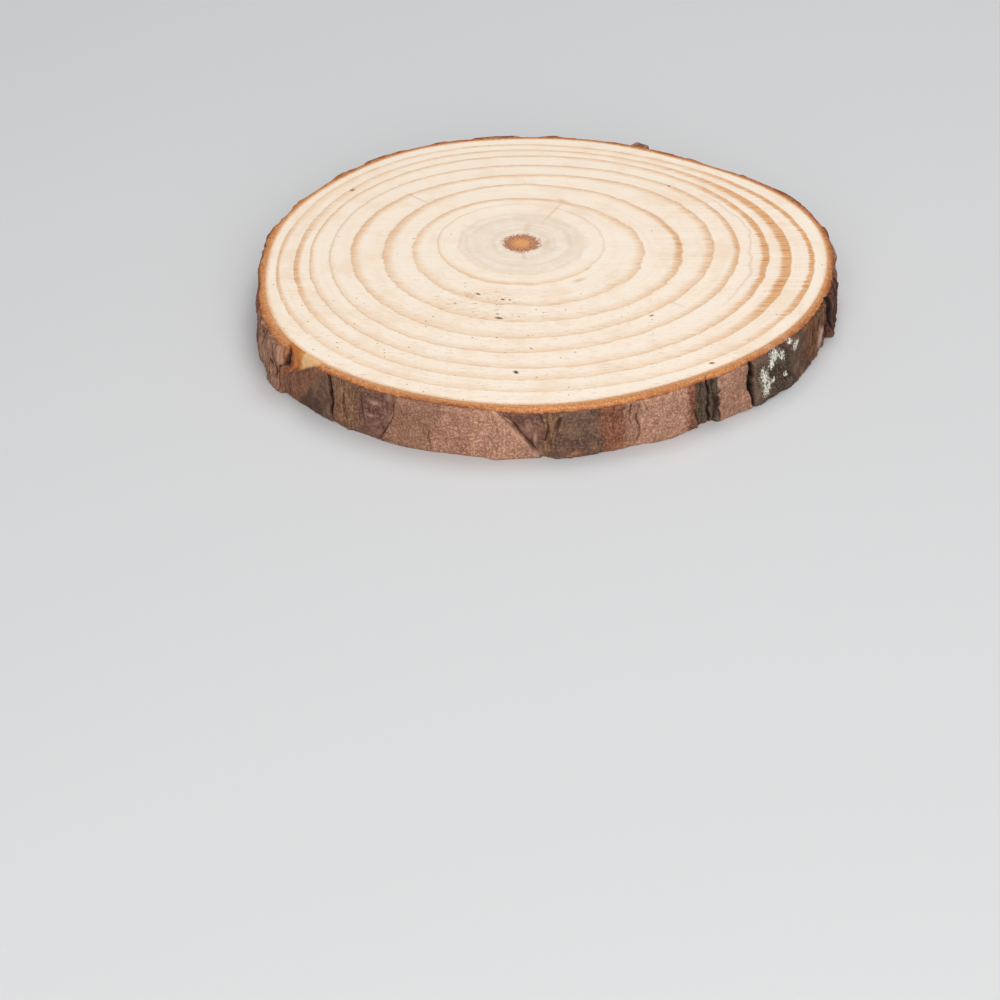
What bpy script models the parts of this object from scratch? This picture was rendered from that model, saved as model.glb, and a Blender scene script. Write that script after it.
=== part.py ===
"""A slice sawn straight across a young pine trunk, lying flat: the wood and the ring of bark on it.

Lengths are in millimetres until a mesh is made. +Z runs along the trunk, and z is 0 on the face
that the slice lies on. Angles are in degrees, turned anticlockwise round the pith from +X.
"""

import math
import random
from dataclasses import dataclass

import bmesh
import bpy

METRES_PER_MM = 0.001

# Driving dimensions
THICKNESS = 9.5
PITH = (-4.76, 6.85)  # where the pith lies, from the middle of the slice
WOOD_REACH = 48.15  # from the pith to the edge of the wood, on average
BARK_FACE = 1.5  # from the edge of the wood to the face of an average plate
GAP = 0.3  # left between the wood and the bark
SMOOTH_TURN = 360  # points in a turn that has no plates on it


@dataclass(frozen=True)
class Swelling:
    """A wave in the trunk's outline, with one of its crests towards an angle."""

    crests: int
    rise: float
    towards: float


@dataclass(frozen=True)
class Plate:
    """A plate of bark, from its own first edge to the next plate's first edge."""

    start: float  # the angle of its first edge, at half height
    rise: float  # how far its face stands out from an average plate's
    crack: float = 0.0  # width of the crack along its first edge
    depth: float = 0.0  # depth of that crack
    lean: float = 0.0  # how far that edge turns from the bottom face to the top face
    flare: float = 0.0  # how much further the foot of its face stands out than the head


# One crest is the trunk's middle lying off the pith; two and three are its oval and its corners
TRUNK = (
    Swelling(1, 7.5, 297.0),
    Swelling(2, 0.95, 13.4),
    Swelling(3, 1.37, 118.9),
    Swelling(4, 0.2, 4.1),
    Swelling(5, 0.25, 6.7),
    Swelling(7, 0.27, 15.6),
)

# The plates at the front, from the weathered flake on the left to the thin bark on the right
FRONT_PLATES = (
    Plate(206.0, 0.45),
    Plate(213.0, 0.9, crack=0.7, depth=0.4, lean=2.0),
    Plate(221.0, 0.15, crack=1.2, depth=1.2, lean=2.5),
    Plate(228.5, 0.25),
    Plate(234.4, 0.0, crack=0.9, depth=0.6, lean=-1.0),
    Plate(240.2, 0.2),
    Plate(246.5, 0.3, crack=0.5, depth=0.3, lean=3.0),
    Plate(269.5, -0.35, lean=-8.0),
    Plate(275.0, 0.2, crack=1.3, depth=0.6, lean=3.0),
    Plate(283.3, -0.1),
    Plate(289.8, 0.25, crack=0.5, depth=0.3),
    Plate(301.3, -0.45, lean=-1.5),
    Plate(303.4, -0.45, crack=0.9, depth=0.4, lean=-0.6),
    Plate(305.6, 0.25, lean=-1.0),
    Plate(313.6, 0.55, crack=1.6, depth=1.2, lean=-2.0),
    Plate(327.5, 0.2, crack=0.8, depth=0.3),
    Plate(333.0, 0.0, crack=0.6, depth=0.3),
    Plate(340.6, 0.7, crack=1.5, depth=1.0, lean=-2.8, flare=0.7),
    Plate(344.3, 0.55, crack=0.7, depth=0.4, lean=-1.0, flare=0.8),
    Plate(349.0, -0.1, crack=0.6, depth=0.3),
    Plate(356.0, 0.0),
)

# The rest of the turn has plates of the same sort, drawn from a seed
BACK_SEED = 11
BACK_FROM = 362.0
BACK_TO = 558.0
BACK_WIDTHS = (7.0, 19.0)
BACK_RISES = (-0.3, 0.4)
BACK_CRACKS = (0.8, 1.5)
BACK_DEPTHS = (0.4, 1.2)
BACK_LEAN = 3.0
LOOSE_FLAKE = Plate(56.5 + 360.0, 1.5, crack=1.0, depth=0.9, lean=1.5)  # one that stands off the rest
LOOSE_FLAKE_END = 63.0 + 360.0

# Across a plate: a crown, lips beside its cracks, and columns of vertices at an even spacing
CROWN = 0.15
LEAST_STEP = 0.35  # width of the slope at an edge with no crack
COLUMN_SPACING = 1.05
LEAST_BARK = 0.7  # from the edge of the wood to the deepest place in a crack
WANDER = 0.4  # degrees that an edge strays to either side on its way up
WANDER_PER_MM = 0.75

# Over all plates: scales that lie on each other, and a finer unevenness
LEDGE = 0.4
LEDGE_EDGE = 0.35  # how soon a scale's edge is over, 0 being at once
LEDGE_WAVES = ((9, 0.55, 0.4), (23, -0.8, 2.2), (37, 1.3, 5.1))  # waves a turn, turn per mm up, shift
UNEVEN = 0.07
UNEVEN_WAVES = ((61, 0.9, 1.0), (103, -1.7, 3.3))

# The sawn edges are worn and ragged: the face is drawn in over a low slope
TOP_SLOPE = 0.7
BOTTOM_SLOPE = 0.3
TOP_DRAWN_IN = 0.55
BOTTOM_DRAWN_IN = 0.2
RAGGED = 0.45  # share of that which comes and goes along the edge
RAGGED_WAVES = ((13, 0.0, 0.0), (29, 0.0, 1.3), (71, 0.0, 4.4))
LEAST_RIM = 0.65
ROWS_UP = 7  # rows of faces between the two slopes

# A three-cornered chip out of the top edge, where resin has filled the bark
CHIP_FROM = 221.8
CHIP_TO = 231.5
CHIP_DROP = 5.2  # how far down its first side reaches
CHIP_SIDE = 0.9  # height over which its slanting side slopes in
CHIP_BARK = 0.75  # what is left on the wood there

WOOD_COLOUR = (0.78, 0.6, 0.42, 1.0)
BARK_COLOUR = (0.13, 0.075, 0.055, 1.0)


def wood_edge(angle):
    """From the pith to the edge of the wood."""
    waves = (s.rise * math.cos(math.radians(s.crests * (angle - s.towards))) for s in TRUNK)
    return WOOD_REACH + sum(waves)


def all_plates():
    """Every plate in order round the slice: those at the front, the seeded ones and the loose flake."""
    draw = random.Random(BACK_SEED)
    plates = list(FRONT_PLATES)
    angle = BACK_FROM
    while angle < BACK_TO:
        rise, crack, depth = (draw.uniform(*span) for span in (BACK_RISES, BACK_CRACKS, BACK_DEPTHS))
        lean = draw.uniform(-BACK_LEAN, BACK_LEAN)
        width = draw.uniform(*BACK_WIDTHS)
        if angle < LOOSE_FLAKE.start < angle + width:
            plates += [Plate(angle, rise, crack, depth, lean), LOOSE_FLAKE]
            angle = LOOSE_FLAKE_END
        else:
            plates.append(Plate(angle, rise, crack, depth, lean))
            angle += width
    return plates


def smooth_step(share):
    """0 below 0, 1 above 1, and smooth between."""
    share = min(1.0, max(0.0, share))
    return share * share * (3.0 - 2.0 * share)


def rise_at(plate, height):
    """How far a plate's face stands out from an average plate's at a height."""
    return plate.rise + plate.flare * (0.5 - height / THICKNESS)


def ripple(waves, angle, height):
    """Waves round the slice added together, none of which is in step with another: -1 to 1."""
    total = 0.0
    for count, per_mm, shift in waves:
        total += math.sin(math.radians(count * angle) + per_mm * height + shift)
    return total / len(waves)


def edge_angles(plates, height):
    """The angle of each plate's first edge at a height, and last of the first plate's, a turn on."""
    share_up = height / THICKNESS - 0.5
    edges = []
    for number, plate in enumerate(plates):
        stray = WANDER * math.sin(WANDER_PER_MM * height + number * number)
        edges.append(plate.start + plate.lean * share_up + stray)
    return edges + [edges[0] + 360.0]


def relief(angle, height):
    """The scales and the unevenness on the face of the bark."""
    scales = smooth_step(0.5 + ripple(LEDGE_WAVES, angle, height) / LEDGE_EDGE)
    return LEDGE * (scales - 0.5) + UNEVEN * ripple(UNEVEN_WAVES, angle, height)


def chipped(angle, height, thickness):
    """The thickness of the bark, less what the chip takes."""
    across = (angle - CHIP_FROM) / (CHIP_TO - CHIP_FROM)
    if not 0.0 <= across <= 1.0:
        return thickness
    floor = THICKNESS - CHIP_DROP * (1.0 - across)
    gone = smooth_step((height - floor) / CHIP_SIDE + 0.5)
    return thickness + (min(CHIP_BARK, thickness) - thickness) * gone


def bark_profile(plates, height, drawn_in=0.0):
    """Angles and thicknesses of the bark right round at a height, with its face drawn in there."""
    edges = edge_angles(plates, height)
    profile = []
    for number, plate in enumerate(plates):
        before, after = plates[number - 1], plates[(number + 1) % len(plates)]
        per_degree = math.radians(wood_edge(plate.start))
        end = after.start if number + 1 < len(plates) else after.start + 360.0
        lip = edges[number] + max(plate.crack, LEAST_STEP) / 2.0 / per_degree
        far_lip = edges[number + 1] - max(after.crack, LEAST_STEP) / 2.0 / per_degree
        rise = rise_at(plate, height)
        profile.append((edges[number], min(rise_at(before, height), rise) - plate.depth))
        spaces = max(2, round((end - plate.start) * per_degree / COLUMN_SPACING))
        for step in range(spaces + 1):
            share = step / spaces
            angle = lip + (far_lip - lip) * share
            profile.append((angle, rise + CROWN * math.sin(math.pi * share) + relief(angle, height)))
    shaped = []
    for angle, rise in profile:
        thickness = chipped(angle, height, max(LEAST_BARK, BARK_FACE + rise))
        worn = drawn_in * (1.0 + RAGGED * ripple(RAGGED_WAVES, angle, height))
        shaped.append((angle, max(min(thickness, LEAST_RIM), thickness - worn)))
    return shaped


def turn_points(profile, height):
    """The points of one turn, in metres."""
    points = []
    for angle, thickness in profile:
        reach = wood_edge(angle) + thickness
        turn = math.radians(angle)
        x, y = PITH[0] + reach * math.cos(turn), PITH[1] + reach * math.sin(turn)
        points.append((METRES_PER_MM * x, METRES_PER_MM * y, METRES_PER_MM * height))
    return points


def add_turn(bm, profile, height):
    """The vertices of one turn."""
    return [bm.verts.new(point) for point in turn_points(profile, height)]


def join_turns(bm, lower, upper):
    """A band of faces from one turn to the next."""
    for here in range(len(lower)):
        beside = (here + 1) % len(lower)
        bm.faces.new((lower[here], lower[beside], upper[beside], upper[here]))


def plain_material(name, colour, roughness):
    """A Principled material of one colour."""
    material = bpy.data.materials.new(name)
    material.use_nodes = True
    shader = material.node_tree.nodes["Principled BSDF"]
    shader.inputs["Base Color"].default_value = colour
    shader.inputs["Roughness"].default_value = roughness
    shader.inputs["Metallic"].default_value = 0.0
    return material


def add_object(name, bm, material):
    """Ends a mesh and puts it in the scene."""
    bmesh.ops.recalc_face_normals(bm, faces=bm.faces)
    mesh = bpy.data.meshes.new(name)
    bm.to_mesh(mesh)
    bm.free()
    mesh.materials.append(material)
    mesh.shade_smooth()
    mesh.set_sharp_from_angle(angle=math.radians(35.0))
    bpy.context.scene.collection.objects.link(bpy.data.objects.new(name, mesh))


def build_wood():
    """The sawn disc of wood: its outline, extruded to the slice's thickness."""
    bm = bmesh.new()
    profile = [(turn * 360.0 / SMOOTH_TURN, 0.0) for turn in range(SMOOTH_TURN)]
    outline = bm.faces.new(add_turn(bm, profile, 0.0))
    raised = bmesh.ops.extrude_face_region(bm, geom=[outline])["geom"]
    tops = [item for item in raised if isinstance(item, bmesh.types.BMVert)]
    bmesh.ops.translate(bm, verts=tops, vec=(0.0, 0.0, METRES_PER_MM * THICKNESS))
    add_object("wood", bm, plain_material("pale_pine", WOOD_COLOUR, 0.7))


def build_bark():
    """The ring of bark: a wall round the wood, whose outer face is the plates and their cracks."""
    plates = all_plates()
    low, high = BOTTOM_SLOPE, THICKNESS - TOP_SLOPE
    bm = bmesh.new()
    turns = [add_turn(bm, bark_profile(plates, 0.0, BOTTOM_DRAWN_IN), 0.0)]
    for row in range(ROWS_UP + 1):
        height = low + (high - low) * row / ROWS_UP
        turns.append(add_turn(bm, bark_profile(plates, height), height))
    turns.append(add_turn(bm, bark_profile(plates, THICKNESS, TOP_DRAWN_IN), THICKNESS))
    for height in (THICKNESS, THICKNESS / 2.0, 0.0):
        inner_wall = [(angle, GAP) for angle, _ in bark_profile(plates, height)]
        turns.append(add_turn(bm, inner_wall, height))
    for lower, upper in zip(turns, turns[1:] + turns[:1]):
        join_turns(bm, lower, upper)
    add_object("bark", bm, plain_material("brown_bark", BARK_COLOUR, 0.9))


def main():
    """Clears the scene and builds the two pieces."""
    for old in list(bpy.data.objects):
        bpy.data.objects.remove(old)
    build_wood()
    build_bark()


main()
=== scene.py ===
"""Dresses a slice sawn across a young pine trunk: the wood with its growth rings, and the bark.

Lengths are in millimetres until a mesh is made. Angles are in degrees, turned anticlockwise round
the pith from +X, and heights run up from the sawn face that the slice lies on.
"""

import logging
import math
from collections.abc import Mapping
from dataclasses import dataclass, field
from enum import Enum

import bpy
import numpy as np
from bpy.types import Material, Mesh, Node, NodeSocket, NodeTree, Object
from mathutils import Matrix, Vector
from mathutils.bvhtree import BVHTree


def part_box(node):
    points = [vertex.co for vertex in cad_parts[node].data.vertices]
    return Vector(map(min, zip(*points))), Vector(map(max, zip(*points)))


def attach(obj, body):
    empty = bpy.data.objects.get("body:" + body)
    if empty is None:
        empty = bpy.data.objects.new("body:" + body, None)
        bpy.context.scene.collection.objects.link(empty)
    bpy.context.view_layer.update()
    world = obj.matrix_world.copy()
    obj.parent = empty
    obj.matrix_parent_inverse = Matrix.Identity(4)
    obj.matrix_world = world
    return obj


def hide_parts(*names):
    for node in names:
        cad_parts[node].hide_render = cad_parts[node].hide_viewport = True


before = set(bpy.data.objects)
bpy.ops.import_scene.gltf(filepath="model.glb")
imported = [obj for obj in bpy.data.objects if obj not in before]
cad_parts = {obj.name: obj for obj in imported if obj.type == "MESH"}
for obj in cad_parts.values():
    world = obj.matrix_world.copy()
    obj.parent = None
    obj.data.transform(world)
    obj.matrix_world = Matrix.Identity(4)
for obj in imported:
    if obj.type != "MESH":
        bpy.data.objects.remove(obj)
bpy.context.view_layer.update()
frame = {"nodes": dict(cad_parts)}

MM = 0.001
TURN = 360.0
PITH = (-4.76, 6.85)  # from the middle of the slice
GIRTH = 2.0 * math.pi * 50.0  # of the slice, about
MM_PER_DEGREE = 0.87  # round the face of the bark, about

Array = np.ndarray
Masks = dict[str, np.ndarray]
Colour = tuple[float, float, float]
Lobe = tuple[float, float]  # the angle that a side faces, and how far round it reaches
Socket = NodeSocket
Value = Socket | float
log = logging.getLogger("wood_slice")


def paint(red: int, green: int, blue: int) -> Colour:
    """A screen colour, 0 to 255, as the light that it stands for.

    Args:
        red: From 0 to 255.
        green: From 0 to 255.
        blue: From 0 to 255.

    Returns:
        Red, green and blue light, 0 to 1.
    """

    def light(value: int) -> float:
        """One channel, by the screen's own curve."""
        share = value / 255.0
        return share / 12.92 if share <= 0.04045 else ((share + 0.055) / 1.055) ** 2.4

    return light(red), light(green), light(blue)


def smooth_step(low: float, high: float, value: Array) -> Array:
    """0 up to low, 1 from high on, and smooth between; low may be the larger."""
    share = np.clip((value - low) / (high - low), 0.0, 1.0)
    return share * share * (3.0 - 2.0 * share)


def cell_noise(
    around: Array, along: Array, cells: tuple[int, int], seed: int
) -> Array:
    """Smooth random values from -1 to 1 on a grid of cells that closes after one turn.

    Args:
        around: Shares of a turn, 0 to 1.
        along: Shares of the way along, 0 to 1.
        cells: How many cells a turn has, and how many lie along.
        seed: What the values are drawn from.

    Returns:
        A value for each place, in the shape of around and along.
    """
    drawn = np.random.default_rng(seed).uniform(-1.0, 1.0, (cells[0], cells[1] + 2))
    x, y = around * cells[0], along * cells[1]
    column, row = np.floor(x).astype(int), np.floor(y).astype(int)
    across, up = smooth_step(0.0, 1.0, x - column), smooth_step(0.0, 1.0, y - row)
    here, beside = column % cells[0], (column + 1) % cells[0]
    low = drawn[here, row] * (1.0 - across) + drawn[beside, row] * across
    high = drawn[here, row + 1] * (1.0 - across) + drawn[beside, row + 1] * across
    return low * (1.0 - up) + high * up


def lobe(angles: Array, towards: float, half_width: float) -> Array:
    """1 towards an angle, falling to 0 on both sides."""
    off = (angles - towards + TURN / 2.0) % TURN - TURN / 2.0
    return np.exp(-((off / half_width) ** 2))


class Frame:
    """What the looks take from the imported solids: the wood's outline and the face of the bark."""

    def __init__(self, wood: Object, bark: Object) -> None:
        """Reads the two solids.

        Args:
            wood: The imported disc.
            bark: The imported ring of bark.
        """
        low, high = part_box("wood")
        self.thickness = (high.z - low.z) / MM
        points = np.array([vertex.co for vertex in wood.data.vertices]) / MM
        points = points[points[:, 2] > self.thickness / 2.0]
        x, y = points[:, 0] - PITH[0], points[:, 1] - PITH[1]
        turns, reach = np.degrees(np.arctan2(y, x)) % TURN, np.hypot(x, y)
        rim = reach > reach.max() / 2.0
        order = np.argsort(turns[rim])
        self._turns, self._reach = turns[rim][order], reach[rim][order]
        mesh = bark.data
        corners = [vertex.co / MM for vertex in mesh.vertices]
        self._bark = BVHTree.FromPolygons(corners, [face.vertices for face in mesh.polygons])

    def wood_reach(self, angles: Array) -> Array:
        """From the pith to the edge of the wood, at each angle."""
        return np.interp(angles, self._turns, self._reach, period=TURN)

    def bark_reach(self, angles: Array, heights: Array) -> Array:
        """From the pith to the face of the bark.

        Args:
            angles: Where the columns stand.
            heights: Where the rows lie.

        Returns:
            A distance for each row and column.
        """
        start = 2.0 * self._reach.max()
        ways = [Vector((math.cos(a), math.sin(a), 0.0)) for a in np.radians(angles)]
        found = np.empty((len(heights), len(angles)))
        for row, height in enumerate(heights):
            pith = Vector((*PITH, height))
            for column, way in enumerate(ways):
                hit = self._bark.ray_cast(pith + way * start, -way)[0]
                found[row, column] = (hit - pith).length
        return found


class Loft:
    """A mesh skinned over rings of points round the pith."""

    def __init__(self, reach: Array, heights: Array, angles: Array) -> None:
        """Takes the rings.

        Args:
            reach: From the pith, for each ring and column.
            heights: For each ring and column.
            angles: For each column.
        """
        self.reach, self.heights, self.angles = reach, heights, angles

    def mesh(self, name: str, tube: bool) -> Mesh:
        """Makes the mesh, in metres.

        Args:
            name: Its name.
            tube: Whether the last ring joins the first; if not, both close on the pith.

        Returns:
            The mesh, its vertices in the order of the rings, with the two middles after them.
        """
        rings, columns = self.reach.shape
        turns = np.radians(self.angles)
        x = PITH[0] + self.reach * np.cos(turns)
        y = PITH[1] + self.reach * np.sin(turns)
        points = np.stack([x, y, self.heights], axis=-1).reshape(-1, 3)
        number = np.arange(rings * columns).reshape(rings, columns)
        lower = number if tube else number[:-1]
        upper = np.roll(number, -1, axis=0) if tube else number[1:]
        corners = (lower, np.roll(lower, -1, axis=1), np.roll(upper, -1, axis=1), upper)
        faces = np.stack([part.ravel() for part in corners], axis=-1).tolist()
        if not tube:
            for ring, flip in ((0, False), (-1, True)):
                middle = len(points)
                points = np.vstack([points, (*PITH, self.heights[ring].mean())])
                first, second = number[ring], np.roll(number[ring], -1)
                pairs = zip(first.tolist(), second.tolist())
                faces += [(a, b, middle) if flip else (b, a, middle) for a, b in pairs]
        made = bpy.data.meshes.new(name)
        made.from_pydata((points * MM).tolist(), [], faces)
        made.update()
        return made


def set_mask(mesh: Mesh, name: str, values: Array, middles: float = 0.0) -> None:
    """Gives a mesh a number for each vertex.

    Args:
        mesh: The mesh.
        name: What the material reads it by.
        values: For each ring and column.
        middles: For the vertices past the rings.
    """
    filled = np.full(len(mesh.vertices), middles, np.float32)
    filled[: values.size] = values.ravel()
    mesh.attributes.new(name, "FLOAT", "POINT").data.foreach_set("value", filled)


def set_tone(mesh: Mesh, name: str, colours: Array) -> None:
    """Gives a mesh a colour for each vertex.

    Args:
        mesh: The mesh.
        name: What the material reads it by.
        colours: Three lights for each ring and column.
    """
    flat = colours.reshape(-1, 3)
    filled = np.ones((len(mesh.vertices), 4), np.float32)
    filled[: len(flat), :3] = flat
    mesh.attributes.new(name, "FLOAT_COLOR", "POINT").data.foreach_set("color", filled.ravel())


class Tree:
    """A node tree, with short ways to add to it."""

    NODES_IN_A_ROW = 12

    def __init__(self, tree: NodeTree) -> None:
        """Takes the tree to add to."""
        self.tree = tree

    def add(self, kind: str, **settings: object) -> Node:
        """Adds a node and sets its properties.

        Args:
            kind: Its type.
            settings: Its properties, by name.

        Returns:
            The node.
        """
        node = self.tree.nodes.new(kind)
        row, column = divmod(len(self.tree.nodes), self.NODES_IN_A_ROW)
        node.location = (180.0 * column, -160.0 * row)
        for name, value in settings.items():
            setattr(node, name, value)
        return node

    def feed(self, socket: Socket, value: Value | Colour) -> None:
        """Joins a socket to another, or sets its number or colour.

        Args:
            socket: The input.
            value: What it gets.
        """
        if isinstance(value, NodeSocket):
            self.tree.links.new(value, socket)
        elif isinstance(value, tuple) and socket.type == "RGBA":
            socket.default_value = (*value, 1.0)
        else:
            socket.default_value = value

    def math(self, operation: str, *values: Value, clamp: bool = False) -> Socket:
        """Adds a sum of one, two or three values.

        Args:
            operation: The sum.
            values: What it is made of.
            clamp: Whether the outcome is kept from 0 to 1.

        Returns:
            The outcome.
        """
        node = self.add("ShaderNodeMath", operation=operation, use_clamp=clamp)
        for socket, value in zip(node.inputs, values):
            self.feed(socket, value)
        return node.outputs[0]

    def times(self, product: Value, *others: Value, clamp: bool = False) -> Socket:
        """The product of some values.

        Args:
            product: The first of them.
            others: The rest.
            clamp: Whether each product is kept from 0 to 1.

        Returns:
            The product.
        """
        for other in others:
            product = self.math("MULTIPLY", product, other, clamp=clamp)
        return product

    def moved(self, value: Value, by: Value, share: Value, clamp: bool = False) -> Socket:
        """A value moved by a share of another."""
        return self.math("MULTIPLY_ADD", by, share, value, clamp=clamp)

    def vector(
        self, operation: str, first: Socket, second: Socket | Colour | None = None
    ) -> Mapping[str, Socket]:
        """Adds a sum of one or two places.

        Args:
            operation: The sum.
            first: The first place.
            second: The second one, if there is one.

        Returns:
            The outcome's sockets: a place as "Vector", or a number as "Value".
        """
        node = self.add("ShaderNodeVectorMath", operation=operation)
        self.feed(node.inputs[0], first)
        if second is not None:
            self.feed(node.inputs[1], second)
        return node.outputs

    def between(
        self, value: Value, low: Value, high: Value, start: Value = 0.0, end: Value = 1.0
    ) -> Socket:
        """A smooth change from start, where a value is low, to end, where it is high.

        Args:
            value: What decides.
            low: Where the change starts; this may be the larger.
            high: Where it ends.
            start: The outcome up to low.
            end: The outcome from high on.

        Returns:
            The outcome.
        """
        node = self.add("ShaderNodeMapRange", interpolation_type="SMOOTHSTEP")
        for socket, given in zip(node.inputs, (value, low, high, start, end)):
            self.feed(socket, given)
        return node.outputs[0]

    def mix(
        self, share: Value, first: Value | Colour, second: Value | Colour, blend: str = "MIX"
    ) -> Socket:
        """A colour between two colours.

        Args:
            share: How much of the second is taken.
            first: The colour below.
            second: The colour laid on it.
            blend: How it is laid on.

        Returns:
            The colour.
        """
        node = self.add("ShaderNodeMix", data_type="RGBA", blend_type=blend, clamp_factor=True)
        self.feed(node.inputs["Factor"], share)
        self.feed(node.inputs[6], first)
        self.feed(node.inputs[7], second)
        return node.outputs[2]

    def level(self, share: Value, first: Value, second: Value) -> Socket:
        """A number between two numbers.

        Args:
            share: How much of the second is taken.
            first: The first number.
            second: The second number.

        Returns:
            The number.
        """
        node = self.add("ShaderNodeMix", data_type="FLOAT", clamp_factor=True)
        self.feed(node.inputs["Factor"], share)
        self.feed(node.inputs[2], first)
        self.feed(node.inputs[3], second)
        return node.outputs[0]

    def mask(self, name: str) -> Socket:
        """A mesh's own number."""
        return self.add("ShaderNodeAttribute", attribute_name=name).outputs["Fac"]

    def tone(self, name: str) -> Socket:
        """A mesh's own colour."""
        return self.add("ShaderNodeAttribute", attribute_name=name).outputs["Color"]

    def place(self, stretch: tuple[float, float, float] = (1.0, 1.0, 1.0)) -> Socket:
        """The place on the piece in millimetres, stretched."""
        where = self.add("ShaderNodeTexCoord").outputs["Object"]
        return self.vector("MULTIPLY", where, tuple(part / MM for part in stretch))["Vector"]

    def noise(self, where: Socket, scale: Value, detail: float = 2.0, rough: float = 0.5) -> Socket:
        """Soft noise, 0 to 1.

        Args:
            where: The place.
            scale: How many waves lie in a millimetre.
            detail: How many finer layers it has.
            rough: How strong these are.

        Returns:
            The noise.
        """
        node = self.add("ShaderNodeTexNoise")
        self.feed(node.inputs["Vector"], where)
        self.feed(node.inputs["Scale"], scale)
        node.inputs["Detail"].default_value = detail
        node.inputs["Roughness"].default_value = rough
        return node.outputs["Fac"]

    def swing(self, where: Socket, scale: Value, detail: float = 2.0, rough: float = 0.5) -> Socket:
        """Soft noise, -0.5 to 0.5."""
        return self.math("SUBTRACT", self.noise(where, scale, detail, rough), 0.5)

    def use(self, group: NodeTree, **values: Value) -> Node:
        """Adds a shared effect with this material's own values, whose names have _ for a space.

        Args:
            group: The effect.
            values: Its inputs.

        Returns:
            Its node.
        """
        node = self.add("ShaderNodeGroup", node_tree=group)
        for name, value in values.items():
            self.feed(node.inputs[name.replace("_", " ")], value)
        return node


class Effects:
    """The effects that more than one finish uses, each built once as a node group."""

    def __init__(self) -> None:
        """Builds the groups."""
        self.mottling = self._mottling()
        self.specks = self._specks()
        self.streaks = self._streaks()

    @staticmethod
    def _group(
        name: str, inputs: dict[str, float], outputs: tuple[str, ...]
    ) -> tuple[Tree, Mapping[str, Socket], Mapping[str, Socket]]:
        """Starts a group.

        Args:
            name: Its name.
            inputs: Its inputs and what each is if nothing is said.
            outputs: Its outputs.

        Returns:
            Its tree, its inputs' sockets and its outputs' sockets, by name.
        """
        group = bpy.data.node_groups.new(name, "ShaderNodeTree")
        number = "NodeSocketFloat"
        for label, value in inputs.items():
            socket = group.interface.new_socket(label, in_out="INPUT", socket_type=number)
            socket.default_value = value
        for label in outputs:
            group.interface.new_socket(label, in_out="OUTPUT", socket_type=number)
        tree = Tree(group)
        start, end = tree.add("NodeGroupInput"), tree.add("NodeGroupOutput")
        return tree, start.outputs, end.inputs

    def _mottling(self) -> NodeTree:
        """Cloudy patches and a fine grain on them.

        Returns:
            The group.
        """
        inputs = {"Patches per mm": 0.3, "Grains per mm": 2.0, "Contrast": 1.0}
        tree, given, out = self._group("mottling", inputs, ("Patches", "Grain"))
        where = tree.place()
        layers = (("Patches", "Patches per mm", 0.6), ("Grain", "Grains per mm", 0.85))
        for label, rate, rough in layers:
            raw = tree.swing(where, given[rate], detail=4.0, rough=rough)
            spread = tree.times(raw, given["Contrast"])
            tree.feed(out[label], tree.moved(0.5, spread, 2.5, clamp=True))
        return tree.tree

    def _specks(self) -> NodeTree:
        """Small dots scattered at random, of which a share is left out.

        Returns:
            The group.
        """
        inputs = {"Dots per mm": 0.6, "Size": 0.2, "Share": 0.3}
        tree, given, out = self._group("specks", inputs, ("Dots",))
        node = tree.add("ShaderNodeTexVoronoi")
        tree.feed(node.inputs["Vector"], tree.place((1.0, 1.7, 1.0)))
        tree.feed(node.inputs["Scale"], given["Dots per mm"])
        split = tree.add("ShaderNodeSeparateColor")
        tree.feed(split.inputs[0], node.outputs["Color"])
        near = tree.between(node.outputs["Distance"], given["Size"], 0.0)
        kept = tree.math("LESS_THAN", split.outputs["Red"], given["Share"])
        tree.feed(out["Dots"], tree.times(near, kept, split.outputs["Green"]))
        return tree.tree

    def _streaks(self) -> NodeTree:
        """Long thin streaks: along X on a sawn face, or up the trunk.

        Returns:
            The group.
        """
        inputs = {"Along X": 1.0, "Across X": 1.0, "Along Z": 1.0, "Low": 0.5, "High": 0.7}
        tree, given, out = self._group("streaks", inputs, ("Streaks", "Height"))
        scale = tree.add("ShaderNodeCombineXYZ")
        for socket, label in zip(scale.inputs, ("Along X", "Across X", "Along Z")):
            tree.feed(socket, given[label])
        stretched = tree.vector("MULTIPLY", tree.place(), scale.outputs[0])["Vector"]
        raw = tree.noise(stretched, 1.0, detail=3.0, rough=0.65)
        tree.feed(out["Streaks"], tree.between(raw, given["Low"], given["High"]))
        tree.feed(out["Height"], raw)
        return tree.tree


def new_material(name: str) -> tuple[Material, Tree, Node]:
    """A new Principled material, with its tree and its shader.

    Args:
        name: Its name.

    Returns:
        The material, its tree and its shader.
    """
    material = bpy.data.materials.new(name)
    material.use_nodes = True
    return material, Tree(material.node_tree), material.node_tree.nodes["Principled BSDF"]


def bump(tree: Tree, shader: Node, height: Socket, deep: float) -> None:
    """Lets a height, 0 to 1, raise a finish by so many millimetres.

    Args:
        tree: The material's tree.
        shader: Its shader.
        height: The height.
        deep: What it raises, in millimetres.
    """
    node = tree.add("ShaderNodeBump")
    node.inputs["Distance"].default_value = deep * MM
    tree.feed(node.inputs["Height"], height)
    tree.feed(shader.inputs["Normal"], node.outputs[0])


# Sides of the slice, seen from the pith: where each is strongest, and how far round it reaches
RIGHT: Lobe = (0.0, 34.0)
FAR_RIGHT: Lobe = (4.0, 26.0)
FADED_BACK: Lobe = (85.0, 45.0)
BACK: Lobe = (95.0, 55.0)
FRONT: Lobe = (275.0, 60.0)
BACK_NARROWER = 0.45  # how much of a band's width is missing at the back
BACK_DEEPER = 0.1  # what a band's colour gains there
FRONT_SOFTER = 0.45  # how much of a thin line is missing in front


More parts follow.
